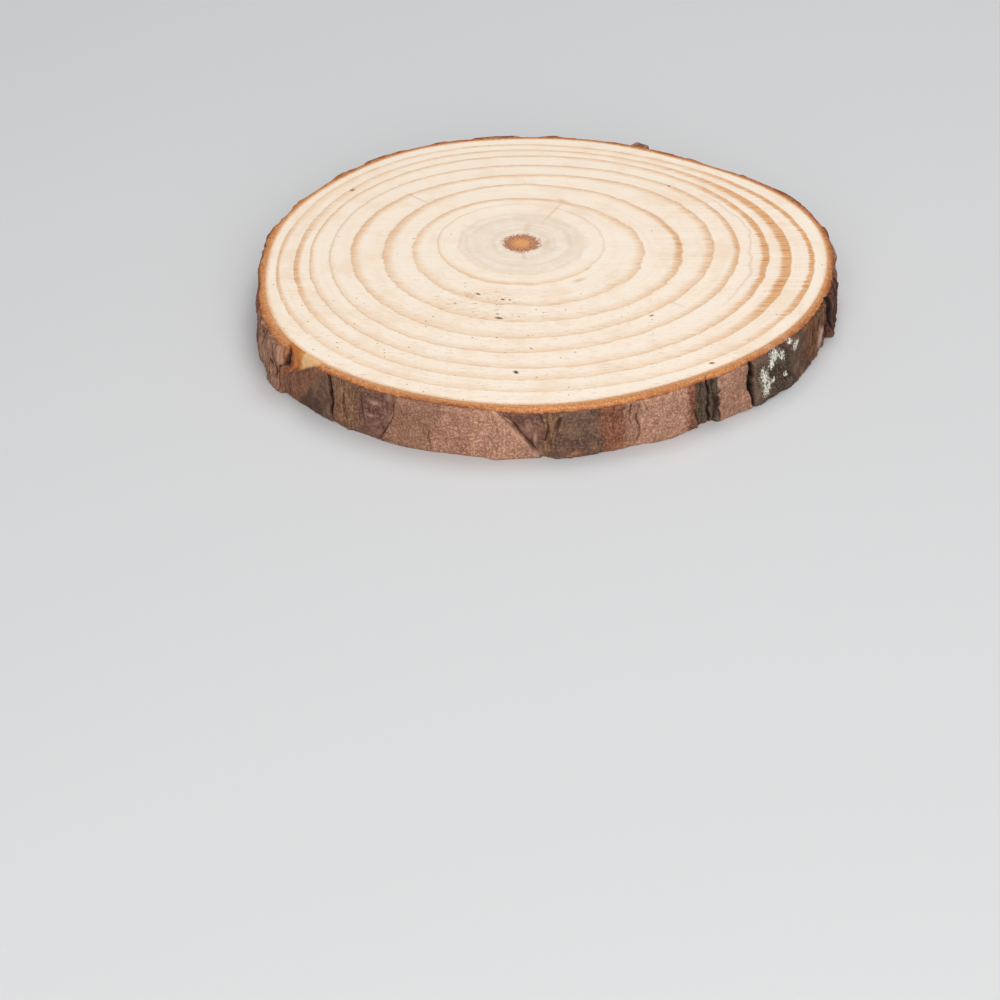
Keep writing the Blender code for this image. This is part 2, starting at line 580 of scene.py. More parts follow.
@dataclass(frozen=True)
class GrowthRing:
    """A year's growth: where its dark late wood ends, and how that band looks.

    The first number of lean, oval and lobe is a rise; the second is where one, the first of two or
    the first of three crests lies, counted in that wave's own degrees.
    """

    reach: float
    lean: tuple[float, float] = (0.0, 0.0)
    oval: tuple[float, float] = (0.0, 0.0)
    lobe: tuple[float, float] = (0.0, 0.0)
    right: tuple[float, float] = (0.5, 0.3)  # width of the band and its depth, to the right
    left: tuple[float, float] = (0.5, 0.3)
    rest: tuple[float, float] = (0.9, 0.25)
    line: float = 0.3  # how dark the thin line is that ends it
    left_at: Lobe = (172.0, 36.0)  # where the left is
    bulge: float = 0.0  # how much further out it lies to the right
    back: float = 1.0  # how much of it shows at the back

    def at(self, angles: Array) -> Array:
        """From the pith to the outer edge of the band.

        Args:
            angles: Where to look.

        Returns:
            A distance for each angle.
        """
        turns = np.radians(angles)
        reach = np.full(angles.shape, self.reach)
        for crests, (rise, towards) in enumerate((self.lean, self.oval, self.lobe), start=1):
            reach += rise * np.cos(crests * turns - math.radians(towards))
        return reach + self.bulge * lobe(angles, *FAR_RIGHT)

    def band(self, angles: Array) -> tuple[Array, Array]:
        """The width of the band and its depth of colour, at each angle.

        Args:
            angles: Where to look.

        Returns:
            The widths, and the depths, 0 to 1.
        """
        to_right, to_left = lobe(angles, *RIGHT), lobe(angles, *self.left_at)
        to_back = lobe(angles, *BACK)
        width, depth = (
            self.rest[part]
            + (self.right[part] - self.rest[part]) * to_right
            + (self.left[part] - self.rest[part]) * to_left
            for part in range(2)
        )
        depth = (depth + BACK_DEEPER * to_back) * self._shown(angles)
        return width * (1.0 - BACK_NARROWER * to_back), depth

    def line_at(self, angles: Array) -> Array:
        """How dark the thin line is at each angle: softer in front."""
        return self.line * (1.0 - FRONT_SOFTER * lobe(angles, *FRONT)) * self._shown(angles)

    def _shown(self, angles: Array) -> Array:
        """How much of the ring shows at each angle."""
        return 1.0 - (1.0 - self.back) * lobe(angles, *FADED_BACK)


PITH_EDGE = GrowthRing(3.2, right=(0.3, 0.0), left=(0.3, 0.0), rest=(0.3, 0.0), line=0.0)
HEART_EDGE = GrowthRing(11.5, right=(2.0, 0.08), left=(2.0, 0.08), rest=(2.0, 0.1), line=0.05)
RINGS = (
    PITH_EDGE,
    HEART_EDGE,
    GrowthRing(
        14.95, (0.15, 225.0),
        right=(1.0, 0.14), left=(0.9, 0.25), rest=(1.7, 0.5), line=0.2, back=0.0,
    ),
    GrowthRing(
        20.0, (2.88, 289.0), (0.44, 320.0), (0.19, 323.0),
        (2.2, 0.5), (2.0, 0.46), (2.2, 0.46), 0.15, bulge=0.3,
    ),
    GrowthRing(
        25.7, (3.19, 299.0), (0.56, 359.0), (0.42, 321.0),
        (1.9, 0.66), (2.5, 0.56), (2.6, 0.4), 0.25, bulge=0.6,
    ),
    GrowthRing(
        30.9, (3.50, 297.0), (1.30, 27.0), (0.49, 50.0),
        (2.3, 0.56), (2.1, 0.56), (2.6, 0.42), 0.3, bulge=0.4,
    ),
    GrowthRing(
        35.1, (3.96, 297.0), (1.25, 28.0), (0.67, 28.0),
        (1.5, 0.64), (0.9, 0.25), (2.3, 0.4), 0.35, bulge=0.2,
    ),
    GrowthRing(
        39.3, (5.03, 299.0), (0.90, 14.0), (0.51, 4.0),
        (1.7, 0.82), (1.1, 0.5), (2.3, 0.4), 0.4, bulge=0.8,
    ),
    GrowthRing(
        42.4, (5.94, 299.0), (0.93, 12.0), (0.90, 353.0),
        (2.4, 1.0), (1.4, 0.66), (2.2, 0.4), 0.35, (192.0, 22.0), 0.6,
    ),
    GrowthRing(
        45.5, (6.76, 296.0), (1.05, 2.0), (0.99, 346.0),
        (1.3, 0.94), (1.0, 0.64), (2.2, 0.38), 0.35, (192.0, 22.0), 1.2,
    ),
)


@dataclass(frozen=True)
class Stain:
    """A mark on the sawn face, long or short, round the pith or out from it."""

    angle: float
    reach: float
    across: float  # half its size round the pith, in millimetres
    outwards: float  # half its size out from the pith
    depth: float = 1.0

    def on(self, angles: Array, reach: Array) -> Array:
        """How deep the mark is.

        Args:
            angles: Of each place.
            reach: Of each place, from the pith.

        Returns:
            A depth for each place.
        """
        off = np.radians((angles - self.angle + TURN / 2.0) % TURN - TURN / 2.0) * reach
        out = (reach - self.reach) / self.outwards
        return self.depth * np.exp(-((off / self.across) ** 2) - out**4)


RUST_STAINS = tuple(
    Stain(*row) for row in (
        (63.5, 13.4, 0.3, 4.2, 0.4), (64.8, 17.7, 0.9, 0.5, 0.55), (48.0, 15.6, 2.6, 1.4, 0.22),
        (79.0, 5.6, 0.6, 2.4, 0.34), (275.0, 4.4, 0.4, 1.4, 0.4), (0.0, 4.3, 1.3, 0.8, 0.34),
        (359.4, 28.4, 0.5, 0.45, 0.8), (307.0, 16.6, 1.2, 0.5, 0.6), (243.0, 20.4, 1.1, 0.7, 0.4),
    )
)
DRYING_CHECKS = (Stain(138.0, 25.5, 0.16, 2.7, 0.45), Stain(321.0, 34.5, 0.2, 1.6, 0.2))
DARK_SPOTS = tuple(
    Stain(*row) for row in (
        (147.0, 36.9, 0.6, 0.4, 0.62), (268.5, 43.9, 0.42, 0.35), (307.5, 51.6, 0.4, 0.3, 0.9),
        (247.2, 19.6, 0.45, 0.25, 0.9), (261.4, 26.6, 0.7, 0.3), (260.4, 25.4, 0.35, 0.25, 0.7),
        (260.6, 20.1, 0.35, 0.25, 0.9), (266.5, 21.0, 0.3, 0.2, 0.8), (264.0, 20.2, 0.25, 0.2, 0.7),
        (241.5, 24.1, 0.35, 0.4, 0.5), (311.0, 33.6, 0.4, 0.3, 0.8), (38.4, 34.9, 0.4, 0.25, 0.7),
        (272.3, 36.2, 0.3, 0.2, 0.7),
    )
)


@dataclass(frozen=True)
class WoodFinish:
    """Sawn pine, cut across the grain and sanded a little."""

    early: Colour = paint(253, 238, 220)
    early_warm: Colour = paint(249, 227, 200)
    late: Colour = paint(242, 211, 176)
    late_deep: Colour = paint(232, 176, 122)
    saw_line: Colour = paint(194, 128, 76)
    line: Colour = paint(196, 150, 112)
    heart: Colour = paint(240, 223, 204)
    heart_thread: Colour = paint(220, 199, 175)
    pith: Colour = paint(230, 164, 104)
    pith_rim: Colour = paint(138, 74, 46)
    pith_crumb: Colour = paint(206, 132, 88)
    rust: Colour = paint(204, 134, 88)
    speck: Colour = paint(66, 42, 28)
    speck_rim: Colour = paint(170, 112, 72)
    fuzz: Colour = paint(226, 164, 106)
    roughness: float = 0.62
    saw_depth: float = 0.04
    false_ring: float = 7.45  # rings passed where the thin line in the wide year lies
    drift: float = 0.17  # how far the rings wander, in rings
    shake: float = 0.08  # how ragged they are
    drag: float = 0.24  # how far the saw has dragged them sideways

    def material(self, effects: Effects) -> Material:
        """The finish as a material.

        Args:
            effects: The shared effects.

        Returns:
            A material that reads the masks of the wood's mesh.
        """
        made, tree, shader = new_material("sawn_pine")
        where = tree.place()
        mottle = tree.use(effects.mottling, Patches_per_mm=0.16, Grains_per_mm=3.2, Contrast=1.0)
        saw = tree.use(effects.streaks, Along_X=0.06, Across_X=4.0, Along_Z=0.1, Low=0.48, High=0.6)
        reach, sideways = self._from_pith(tree, where)
        growth = self._growth(tree, where, saw, sideways)
        thread = self._threads(tree, growth)
        colour = self._early_wood(tree, thread, mottle)
        colour = self._late_wood(tree, colour, growth, saw, sideways)
        colour = self._heart(tree, colour, where, reach, thread)
        colour = self._marks(tree, effects, colour, where, mottle)
        tree.feed(shader.inputs["Base Color"], colour)
        rough = tree.level(mottle.outputs["Grain"], self.roughness - 0.08, self.roughness + 0.1)
        tree.feed(shader.inputs["Roughness"], rough)
        shader.inputs["Specular IOR Level"].default_value = 0.3
        height = tree.moved(saw.outputs["Height"], mottle.outputs["Grain"], 0.5)
        bump(tree, shader, height, self.saw_depth)
        return made

    def _from_pith(self, tree: Tree, where: Socket) -> tuple[Socket, Socket]:
        """The distance from the pith, and how far the way from it is along X: -1 to 1.

        Args:
            tree: The material's tree.
            where: The place.

        Returns:
            The distance, and the share along X.
        """
        off = tree.vector("SUBTRACT", where, (*PITH, 0.0))["Vector"]
        flat = tree.vector("MULTIPLY", off, (1.0, 1.0, 0.0))["Vector"]
        split = tree.add("ShaderNodeSeparateXYZ")
        tree.feed(split.inputs[0], tree.vector("NORMALIZE", flat)["Vector"])
        return tree.vector("LENGTH", flat)["Value"], split.outputs["X"]

    def _growth(self, tree: Tree, where: Socket, saw: Node, sideways: Socket) -> Socket:
        """How many rings have been passed from the pith: a little unsteady, and dragged by the saw.

        Args:
            tree: The material's tree.
            where: The place.
            saw: The saw's streaks.
            sideways: How far the way from the pith is along X.

        Returns:
            The number of rings, with the share of the next one.
        """
        growth = tree.moved(tree.mask("growth"), tree.swing(where, 0.3), self.drift)
        growth = tree.moved(growth, tree.swing(where, 1.5, detail=3.0), self.shake)
        dragged = tree.times(tree.math("SUBTRACT", saw.outputs["Height"], 0.5), sideways)
        return tree.moved(growth, dragged, self.drag)

    def _threads(self, tree: Tree, growth: Socket) -> Socket:
        """Faint threads that run round with the rings.

        Args:
            tree: The material's tree.
            growth: How many rings have been passed.

        Returns:
            How much of a thread lies at each place.
        """
        split = tree.add("ShaderNodeSeparateXYZ")
        tree.feed(split.inputs[0], tree.place((0.045, 0.045, 0.045)))
        threads = tree.add("ShaderNodeCombineXYZ")
        tree.feed(threads.inputs[0], tree.times(growth, 7.0))
        tree.feed(threads.inputs[1], split.outputs["X"])
        tree.feed(threads.inputs[2], split.outputs["Y"])
        return tree.between(tree.noise(threads.outputs[0], 1.0, detail=4.0, rough=0.6), 0.4, 0.68)

    def _early_wood(self, tree: Tree, thread: Socket, mottle: Node) -> Socket:
        """The pale wood.

        Args:
            tree: The material's tree.
            thread: The faint threads.
            mottle: The mottling.

        Returns:
            Its colour.
        """
        base = tree.mix(tree.times(thread, 0.5), self.early, self.early_warm)
        blush = tree.between(mottle.outputs["Patches"], 0.35, 1.0, 0.0, 0.4)
        return tree.mix(blush, base, self.late)

    def _false_ring(self, tree: Tree, growth: Socket, sideways: Socket) -> Socket:
        """A thin wavy line inside one year's growth, to the right.

        Args:
            tree: The material's tree.
            growth: How many rings have been passed.
            sideways: How far the way from the pith is along X.

        Returns:
            How much of the line lies at each place.
        """
        passed = tree.math("SUBTRACT", growth, self.false_ring)
        off = tree.moved(passed, tree.swing(tree.place(), 0.13, detail=1.0), 0.6)
        line = tree.between(tree.math("ABSOLUTE", off), 0.07, 0.02, 0.0, 0.26)
        return tree.times(line, tree.between(sideways, 0.78, 0.96))

    def _late_wood(
        self, tree: Tree, colour: Socket, growth: Socket, saw: Node, sideways: Socket
    ) -> Socket:
        """The band that ends each ring, deeper outwards; where it is strong, the saw has lined it.

        Args:
            tree: The material's tree.
            colour: What is painted over.
            growth: How many rings have been passed.
            saw: The saw's streaks.
            sideways: How far the way from the pith is along X.

        Returns:
            The colour with the bands.
        """
        phase = tree.math("FRACT", growth)
        share, depth = tree.mask("band_share"), tree.mask("band_depth")
        inner = tree.math("SUBTRACT", 1.0, share)
        ramp = tree.math("DIVIDE", tree.math("SUBTRACT", phase, inner), share, clamp=True)
        strong = tree.between(depth, 0.35, 0.85)
        soft = tree.between(ramp, 0.0, tree.level(strong, 1.0, 0.45))
        ended = tree.between(phase, 1.0, tree.level(strong, 0.975, 0.95))
        streak = saw.outputs["Streaks"]
        cloud = tree.noise(tree.place((0.35, 1.6, 1.0)), 1.0, detail=3.0, rough=0.6)
        broken = tree.between(cloud, 0.35, 0.65, tree.level(strong, 0.55, 0.85), 1.15)
        amount = tree.times(soft, ended, broken)
        strength = tree.times(amount, tree.between(depth, 0.0, 0.5, 0.25, 1.0))
        hue = tree.mix(strong, self.late, self.late_deep)
        colour = tree.mix(strength, colour, hue)
        aside = tree.between(tree.math("ABSOLUTE", sideways), 0.0, 1.0, 0.45, 1.0)
        smeared = tree.times(streak, aside, tree.level(depth, 0.04, 0.3))
        colour = tree.mix(smeared, colour, hue)
        lined = tree.times(streak, strength, strong)
        colour = tree.mix(tree.times(lined, 0.85), colour, self.saw_line)
        colour = tree.mix(self._false_ring(tree, growth, sideways), colour, self.line)
        line = tree.times(tree.between(phase, 0.87, 0.96), ended)
        faint = tree.times(tree.mask("line"), tree.level(strong, 1.0, 0.5))
        return tree.mix(tree.times(line, faint), colour, self.line)

    def _heart(
        self, tree: Tree, colour: Socket, where: Socket, reach: Socket, thread: Socket
    ) -> Socket:
        """The greyer wood of the first years, and the soft crumbling pith.

        Args:
            tree: The material's tree.
            colour: What is painted over.
            where: The place.
            reach: The distance from the pith.
            thread: The faint threads.

        Returns:
            The colour with the heart.
        """
        cloud = tree.noise(where, 0.5, detail=4.0, rough=0.6)
        wobble = tree.times(tree.math("SUBTRACT", cloud, 0.5), 6.0)
        edge = HEART_EDGE.reach
        heart = tree.between(tree.math("ADD", reach, wobble), edge + 1.4, edge - 2.4)
        patchy = tree.between(cloud, 0.32, 0.58, 0.95, 0.45)
        colour = tree.mix(tree.times(heart, patchy), colour, self.heart)
        threads = tree.times(heart, thread, 0.4)
        colour = tree.mix(threads, colour, self.heart_thread)
        torn = tree.moved(reach, tree.swing(where, 2.4, detail=4.0, rough=0.75), 4.5)
        flecks = tree.noise(where, 3.6, detail=2.0, rough=0.6)
        rim = tree.mix(tree.between(flecks, 0.44, 0.58), self.pith_rim, self.pith_crumb)
        rim_amount = tree.between(torn, PITH_EDGE.reach + 0.5, PITH_EDGE.reach - 0.3, 0.0, 0.9)
        colour = tree.mix(rim_amount, colour, rim)
        colour = tree.mix(tree.between(torn, 2.4, 0.9, 0.0, 0.95), colour, self.pith)
        inside = tree.between(reach, PITH_EDGE.reach, 2.4)
        fallen = tree.times(tree.between(flecks, 0.42, 0.36, 0.0, 0.6), inside)
        return tree.mix(fallen, colour, self.pith_rim)

    def _marks(
        self, tree: Tree, effects: Effects, colour: Socket, where: Socket, mottle: Node
    ) -> Socket:
        """Stains, drying checks darkened as painted shade, specks, the saw's dashes and the fuzz
        where the bark starts.

        Args:
            tree: The material's tree.
            effects: The shared effects.
            colour: What is painted over.
            where: The place.
            mottle: The mottling.

        Returns:
            The colour with the marks.
        """
        grain = mottle.outputs["Grain"]
        stain = tree.times(tree.mask("stain"), tree.level(grain, 0.4, 1.0))
        colour = tree.mix(stain, colour, self.rust)
        # Painted shade in the drying checks, in the colour of the rings' thin lines
        colour = tree.mix(tree.mask("check"), colour, self.line)
        dashes = tree.use(
            effects.streaks, Along_X=0.5, Across_X=4.2, Along_Z=0.1, Low=0.57, High=0.7
        )
        dashed = tree.times(dashes.outputs["Streaks"], tree.mask("speckled"))
        dashed = tree.times(dashed, 3.0, clamp=True)
        colour = tree.mix(dashed, colour, self.line)
        specks = tree.use(effects.specks, Dots_per_mm=0.75, Size=0.19, Share=tree.mask("speckled"))
        dots = tree.times(specks.outputs["Dots"], 1.5, clamp=True)
        spots = tree.times(tree.mask("spot"), tree.level(grain, 0.7, 1.3), clamp=True)
        marked = tree.math("MAXIMUM", dots, spots)
        colour = tree.mix(tree.between(marked, 0.05, 0.5, 0.0, 0.7), colour, self.speck_rim)
        colour = tree.mix(tree.between(marked, 0.3, 0.7, 0.0, 0.95), colour, self.speck)
        hair = tree.noise(where, 2.6, detail=5.0, rough=0.75)
        ragged = tree.moved(tree.mask("to_edge"), hair, 1.6)
        return tree.mix(tree.between(ragged, 1.75, 0.55, 0.0, 0.95), colour, self.fuzz)


@dataclass
class Wood:
    """The sawn disc of wood."""

    frame: Frame
    effects: Effects
    finish: WoodFinish = field(default_factory=WoodFinish)
    columns: int = 480
    top_rings: int = 118
    bottom_rings: int = 60
    first_ring: float = 0.5  # reach of the ring next to the pith's middle
    ridge: float = 0.035  # how far the late wood stands up from the early wood
    waviness: float = 0.03
    highest: float = 0.05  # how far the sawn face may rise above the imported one
    check_depth: float = 0.12
    sharp: float = 40.0  # the least angle of an edge that stays sharp
    fuzz: float = 0.65  # how far in from the bark the wood is fuzzy
    more_fuzz: float = 0.45  # what is added to that on the fuzziest side
    fuzzy_side: Lobe = (250.0, 62.0)
    specks_side: Lobe = (268.0, 75.0)
    cluster_side: Lobe = (252.0, 16.0)
    cluster_reach: tuple[float, float] = (22.5, 4.5)  # from the pith, and half the cluster's width

    def build(self) -> Object:
        """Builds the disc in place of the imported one.

        Returns:
            The finished piece.
        """
        angles = np.arange(self.columns) * TURN / self.columns
        edge = self.frame.wood_reach(angles)
        top_share = np.linspace(self.first_ring / edge.mean(), 1.0, self.top_rings)
        bottom_share = np.linspace(1.0, self.first_ring / edge.mean(), self.bottom_rings)
        reach = np.concatenate([top_share, bottom_share])[:, None] * edge
        turned = np.broadcast_to(angles, reach.shape)
        growth, share, depth, line = self._rings(turned, reach, edge)
        check = self._stains(DRYING_CHECKS, turned, reach)
        lift = self._lift(turned, reach / edge, growth, share, depth) - self.check_depth * check
        upper = (np.arange(len(reach)) < self.top_rings)[:, None]
        raised = self.frame.thickness + np.minimum(lift, self.highest)
        heights = np.where(upper, raised, np.maximum(-lift, 0.0))
        heights[self.top_rings - 1] = self.frame.thickness
        heights[self.top_rings] = 0.0
        mesh = Loft(reach, heights, angles).mesh("sawn_disc", tube=False)
        set_mask(mesh, "growth", growth)
        set_mask(mesh, "band_share", share, 0.1)
        set_mask(mesh, "band_depth", depth)
        set_mask(mesh, "line", line)
        set_mask(mesh, "stain", self._stains(RUST_STAINS, turned, reach))
        set_mask(mesh, "check", check)
        set_mask(mesh, "spot", self._stains(DARK_SPOTS, turned, reach) * upper)
        set_mask(mesh, "speckled", self._speckled(turned, reach))
        fuzz = self.fuzz + self.more_fuzz * lobe(turned, *self.fuzzy_side)
        set_mask(mesh, "to_edge", (edge - reach) / fuzz, 50.0)
        mesh.materials.append(self.finish.material(self.effects))
        mesh.shade_smooth()
        mesh.set_sharp_from_angle(angle=math.radians(self.sharp))
        piece = bpy.data.objects.new("sawn_wood", mesh)
        bpy.context.scene.collection.objects.link(piece)
        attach(piece, "root")
        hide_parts("wood")
        return piece

    @staticmethod
    def _rings(
        angles: Array, reach: Array, edge: Array
    ) -> tuple[Array, Array, Array, Array]:
        """Which ring each place is in, and how that ring's band looks there.

        Args:
            angles: Of each place.
            reach: Of each place.
            edge: Where the wood ends, for each column.

        Returns:
            Rings passed, the share of the ring that its band takes, the band's depth and its line.
        """
        growth, share = np.zeros(reach.shape), np.full(reach.shape, 0.3)
        depth, line = np.zeros(reach.shape), np.zeros(reach.shape)
        inner = np.zeros(reach.shape)
        for number, ring in enumerate(RINGS):
            outer = ring.at(angles)
            width, deep = ring.band(angles)
            inside = (reach >= inner) & (reach < outer)
            growth = np.where(inside, number + (reach - inner) / (outer - inner), growth)
            share = np.where(inside, np.clip(width / (outer - inner), 0.05, 0.9), share)
            depth = np.where(inside, deep, depth)
            line = np.where(inside, ring.line_at(angles), line)
            inner = outer
        last = reach >= inner
        beyond = 0.8 * (reach - inner) / np.maximum(edge - inner, 0.5)
        growth = np.where(last, len(RINGS) + beyond, growth)
        return growth, share, depth, line

    @staticmethod
    def _stains(stains: tuple[Stain, ...], angles: Array, reach: Array) -> Array:
        """The deepest of some stains at each place."""
        return np.max([stain.on(angles, reach) for stain in stains], axis=0)

    def _speckled(self, angles: Array, reach: Array) -> Array:
        """The share of the dark specks that show: more to the front, most in front of the pith.

        Args:
            angles: Of each place.
            reach: Of each place.

        Returns:
            The share at each place.
        """
        front = lobe(angles, *self.specks_side) * smooth_step(12.0, 20.0, reach)
        cluster = lobe(angles, *self.cluster_side) * lobe(reach, *self.cluster_reach)
        return 0.02 + 0.19 * front + 0.35 * cluster

    def _lift(self, angles: Array, out: Array, growth: Array, share: Array, depth: Array) -> Array:
        """How far the sawn face stands above its own plane.

        Args:
            angles: Of each place.
            out: How far out each place lies, as a share of the way to the edge.
            growth: How many rings each place has passed.
            share: Of its ring, what the band takes.
            depth: Of the band's colour.

        Returns:
            A height for each place, in millimetres.
        """
        phase = growth % 1.0
        band = smooth_step(0.0, 0.6, (phase - 1.0 + share) / share) * smooth_step(1.0, 0.93, phase)
        uneven = cell_noise(angles / TURN, np.clip(out, 0.0, 1.0), (40, 9), seed=5)
        return self.ridge * band * np.clip(depth * 1.5, 0.2, 1.0) + self.waviness * (uneven - 1.0)


class Tone(Enum):
    """The colours that plates of bark have, before their grain."""

    DULL_MAUVE = paint(154, 109, 86)
    MAUVE = paint(170, 121, 99)
    TAN = paint(182, 134, 108)
    PINK_BROWN = paint(170, 123, 100)
    RED_BROWN = paint(130, 75, 52)
    GREY_BROWN = paint(170, 122, 96)
    GREY = paint(98, 71, 57)
    PURPLE_GREY = paint(112, 74, 61)
    OLIVE_BROWN = paint(122, 85, 58)
    BROWN = paint(132, 84, 60)
    DARK = paint(82, 66, 52)
    DARK_RED = paint(66, 25, 16)
    BRONZE = paint(114, 71, 41)
    MOSSY_BLACK = paint(52, 43, 30)


@dataclass(frozen=True)
class Patch:
    """A stretch of bark of one tone, from its first edge to the next patch's."""

    start: float  # the angle of its first edge, at half height
    tone: Tone
    lean: float = 0.0  # how far that edge turns from the bottom face to the top face
    fibrous: float = 0.0
    granular: float = 1.0


FRONT_START, BACK_START = 192.0, 355.0  # where the front of the bark starts and ends
FRONT_PATCHES = (
    Patch(FRONT_START, Tone.RED_BROWN, fibrous=0.4),
    Patch(206.0, Tone.GREY_BROWN, fibrous=1.0, granular=0.6),
    Patch(221.0, Tone.BROWN, lean=2.5, fibrous=0.3, granular=0.6),
    Patch(229.2, Tone.GREY, lean=8.0, granular=0.25),
    Patch(234.7, Tone.OLIVE_BROWN, lean=-0.5, fibrous=0.7),
    Patch(240.2, Tone.PURPLE_GREY, fibrous=0.3, granular=0.75),
    Patch(246.6, Tone.DULL_MAUVE, lean=3.0, granular=0.85),
    Patch(255.0, Tone.MAUVE, lean=3.0),
    Patch(261.5, Tone.TAN, lean=2.0),
    Patch(269.5, Tone.PURPLE_GREY, lean=-8.0, granular=0.7),
    Patch(273.4, Tone.OLIVE_BROWN, lean=1.0, fibrous=0.6),
    Patch(275.5, Tone.GREY, lean=2.0, granular=0.75),
    Patch(283.4, Tone.RED_BROWN, fibrous=0.3),
    Patch(287.4, Tone.PINK_BROWN, fibrous=0.4),
    Patch(290.0, Tone.TAN),
    Patch(299.8, Tone.RED_BROWN, lean=-1.2),
    Patch(301.5, Tone.MOSSY_BLACK, lean=-1.2, fibrous=0.6),
    Patch(306.2, Tone.PINK_BROWN, lean=-1.2, fibrous=0.2),
    Patch(313.2, Tone.DARK, lean=-2.0, fibrous=0.3),
    Patch(317.6, Tone.MOSSY_BLACK, lean=-1.0, fibrous=0.2),
    Patch(323.6, Tone.GREY, lean=-3.0, granular=0.6),
    Patch(329.5, Tone.BRONZE, lean=-1.5, fibrous=1.0, granular=0.5),
    Patch(340.4, Tone.DARK_RED, lean=-2.8, fibrous=0.8, granular=0.4),
    Patch(348.6, Tone.BROWN, fibrous=0.6),
)
LOOSE_FLAKE = (55.8, 63.6)  # where the dark flake at the back starts and ends
BACK_TONES = (
    Tone.MAUVE, Tone.PINK_BROWN, Tone.BROWN, Tone.TAN,
    Tone.GREY_BROWN, Tone.RED_BROWN, Tone.PURPLE_GREY,
)
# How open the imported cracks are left: an angle and a share
CRACKS_KEPT = (
    (213.0, 0.4), (221.0, 0.1), (234.4, 0.15), (246.5, 0.1), (275.0, 0.15), (289.8, 0.0),
    (303.0, 0.0), (313.6, 0.3), (327.5, 0.4), (333.0, 0.45), (340.6, 0.5), (344.3, 0.7),
)
# Where a plate starts that runs on to a narrow gap, and where it then ends
RUN_ON_PLATES = ((218.0, 221.1), (317.0, 314.5))
# How far the orange of the sawn edge reaches out over the bark: an angle and millimetres
SAWN_WIDTHS = (
    (0.0, 1.0), (60.0, 1.1), (120.0, 1.0), (160.0, 1.3), (184.0, 1.8), (200.0, 1.8),
    (208.0, 1.8), (218.0, 1.9), (236.0, 2.0), (247.0, 2.0), (254.0, 1.5), (262.0, 1.7),
    (270.0, 2.5), (288.0, 2.5), (300.0, 2.1), (306.0, 2.3), (314.0, 1.8), (322.0, 1.5),
    (336.0, 1.5), (346.0, 1.2),
)


@dataclass(frozen=True)
class FineCrack:
    """A crack too thin to part two plates: a line that wanders down the bark, sunk in and painted
    dark for its depth as shade.
    """

    top_angle: float
    top_height: float
    foot_angle: float
    foot_height: float
    width: float
    depth: float


# Thin cracks, painted dark for their depth as shade; those between 265 and 273 degrees and the one
# at 306 degrees are painted shadow lines beside raised scale edges
FRONT_CRACKS = tuple(
    FineCrack(*row) for row in (
        (222.0, 9.3, 221.6, 5.2, 0.2, 0.75), (221.2, 5.8, 219.8, 3.4, 0.14, 0.4),
        (219.8, 3.9, 218.2, 2.2, 0.13, 0.25), (223.4, 3.6, 223.0, 0.0, 0.14, 0.2),
        (212.6, 8.8, 212.3, 6.6, 0.3, 0.3), (218.4, 9.0, 219.0, 2.4, 0.2, 0.4),
        (233.2, 8.8, 234.5, 6.6, 0.17, 0.45), (234.5, 6.8, 234.5, 1.2, 0.19, 0.5),
        (237.2, 7.0, 237.6, 1.4, 0.12, 0.2), (240.8, 7.8, 241.6, 2.0, 0.12, 0.2),
        (242.0, 5.4, 244.2, 3.9, 0.14, 0.2), (247.8, 9.0, 247.3, 5.6, 0.13, 0.22),
        (247.3, 5.6, 245.0, 0.8, 0.13, 0.24), (253.9, 4.2, 254.2, 0.0, 0.12, 0.18),
        (264.8, 8.4, 266.4, 4.2, 0.12, 0.16), (265.4, 9.4, 268.6, 6.9, 0.26, 0.16),
        (268.4, 7.2, 269.8, 4.8, 0.24, 0.2), (269.7, 5.0, 272.4, 1.8, 0.22, 0.16),
        (272.4, 2.2, 273.0, 0.4, 0.14, 0.14), (274.5, 6.8, 273.7, 3.2, 0.18, 0.3),
        (276.3, 7.8, 275.3, 3.0, 0.16, 0.22), (272.6, 9.0, 273.6, 6.6, 0.14, 0.2),
        (285.6, 9.0, 285.4, 3.0, 0.12, 0.16), (288.3, 8.8, 288.8, 4.4, 0.12, 0.22),
        (289.8, 8.6, 290.2, 0.6, 0.12, 0.22), (291.4, 7.6, 292.6, 5.8, 0.12, 0.14),
        (303.8, 9.6, 304.8, 0.0, 0.2, 0.9), (306.0, 5.6, 306.8, 0.3, 0.16, 0.35),
        (309.0, 6.0, 309.6, 2.6, 0.12, 0.14), (313.2, 9.6, 314.2, 0.0, 0.24, 0.95),
        (320.4, 5.6, 323.0, 0.8, 0.14, 0.25), (322.4, 3.8, 326.4, 1.0, 0.12, 0.18),
        (317.4, 8.8, 318.6, 3.0, 0.12, 0.2), (340.2, 9.5, 340.8, 4.6, 0.3, 0.9),
        (341.2, 5.8, 343.6, 0.4, 0.3, 0.7), (344.6, 9.2, 345.6, 0.4, 0.2, 0.5),
    )
)
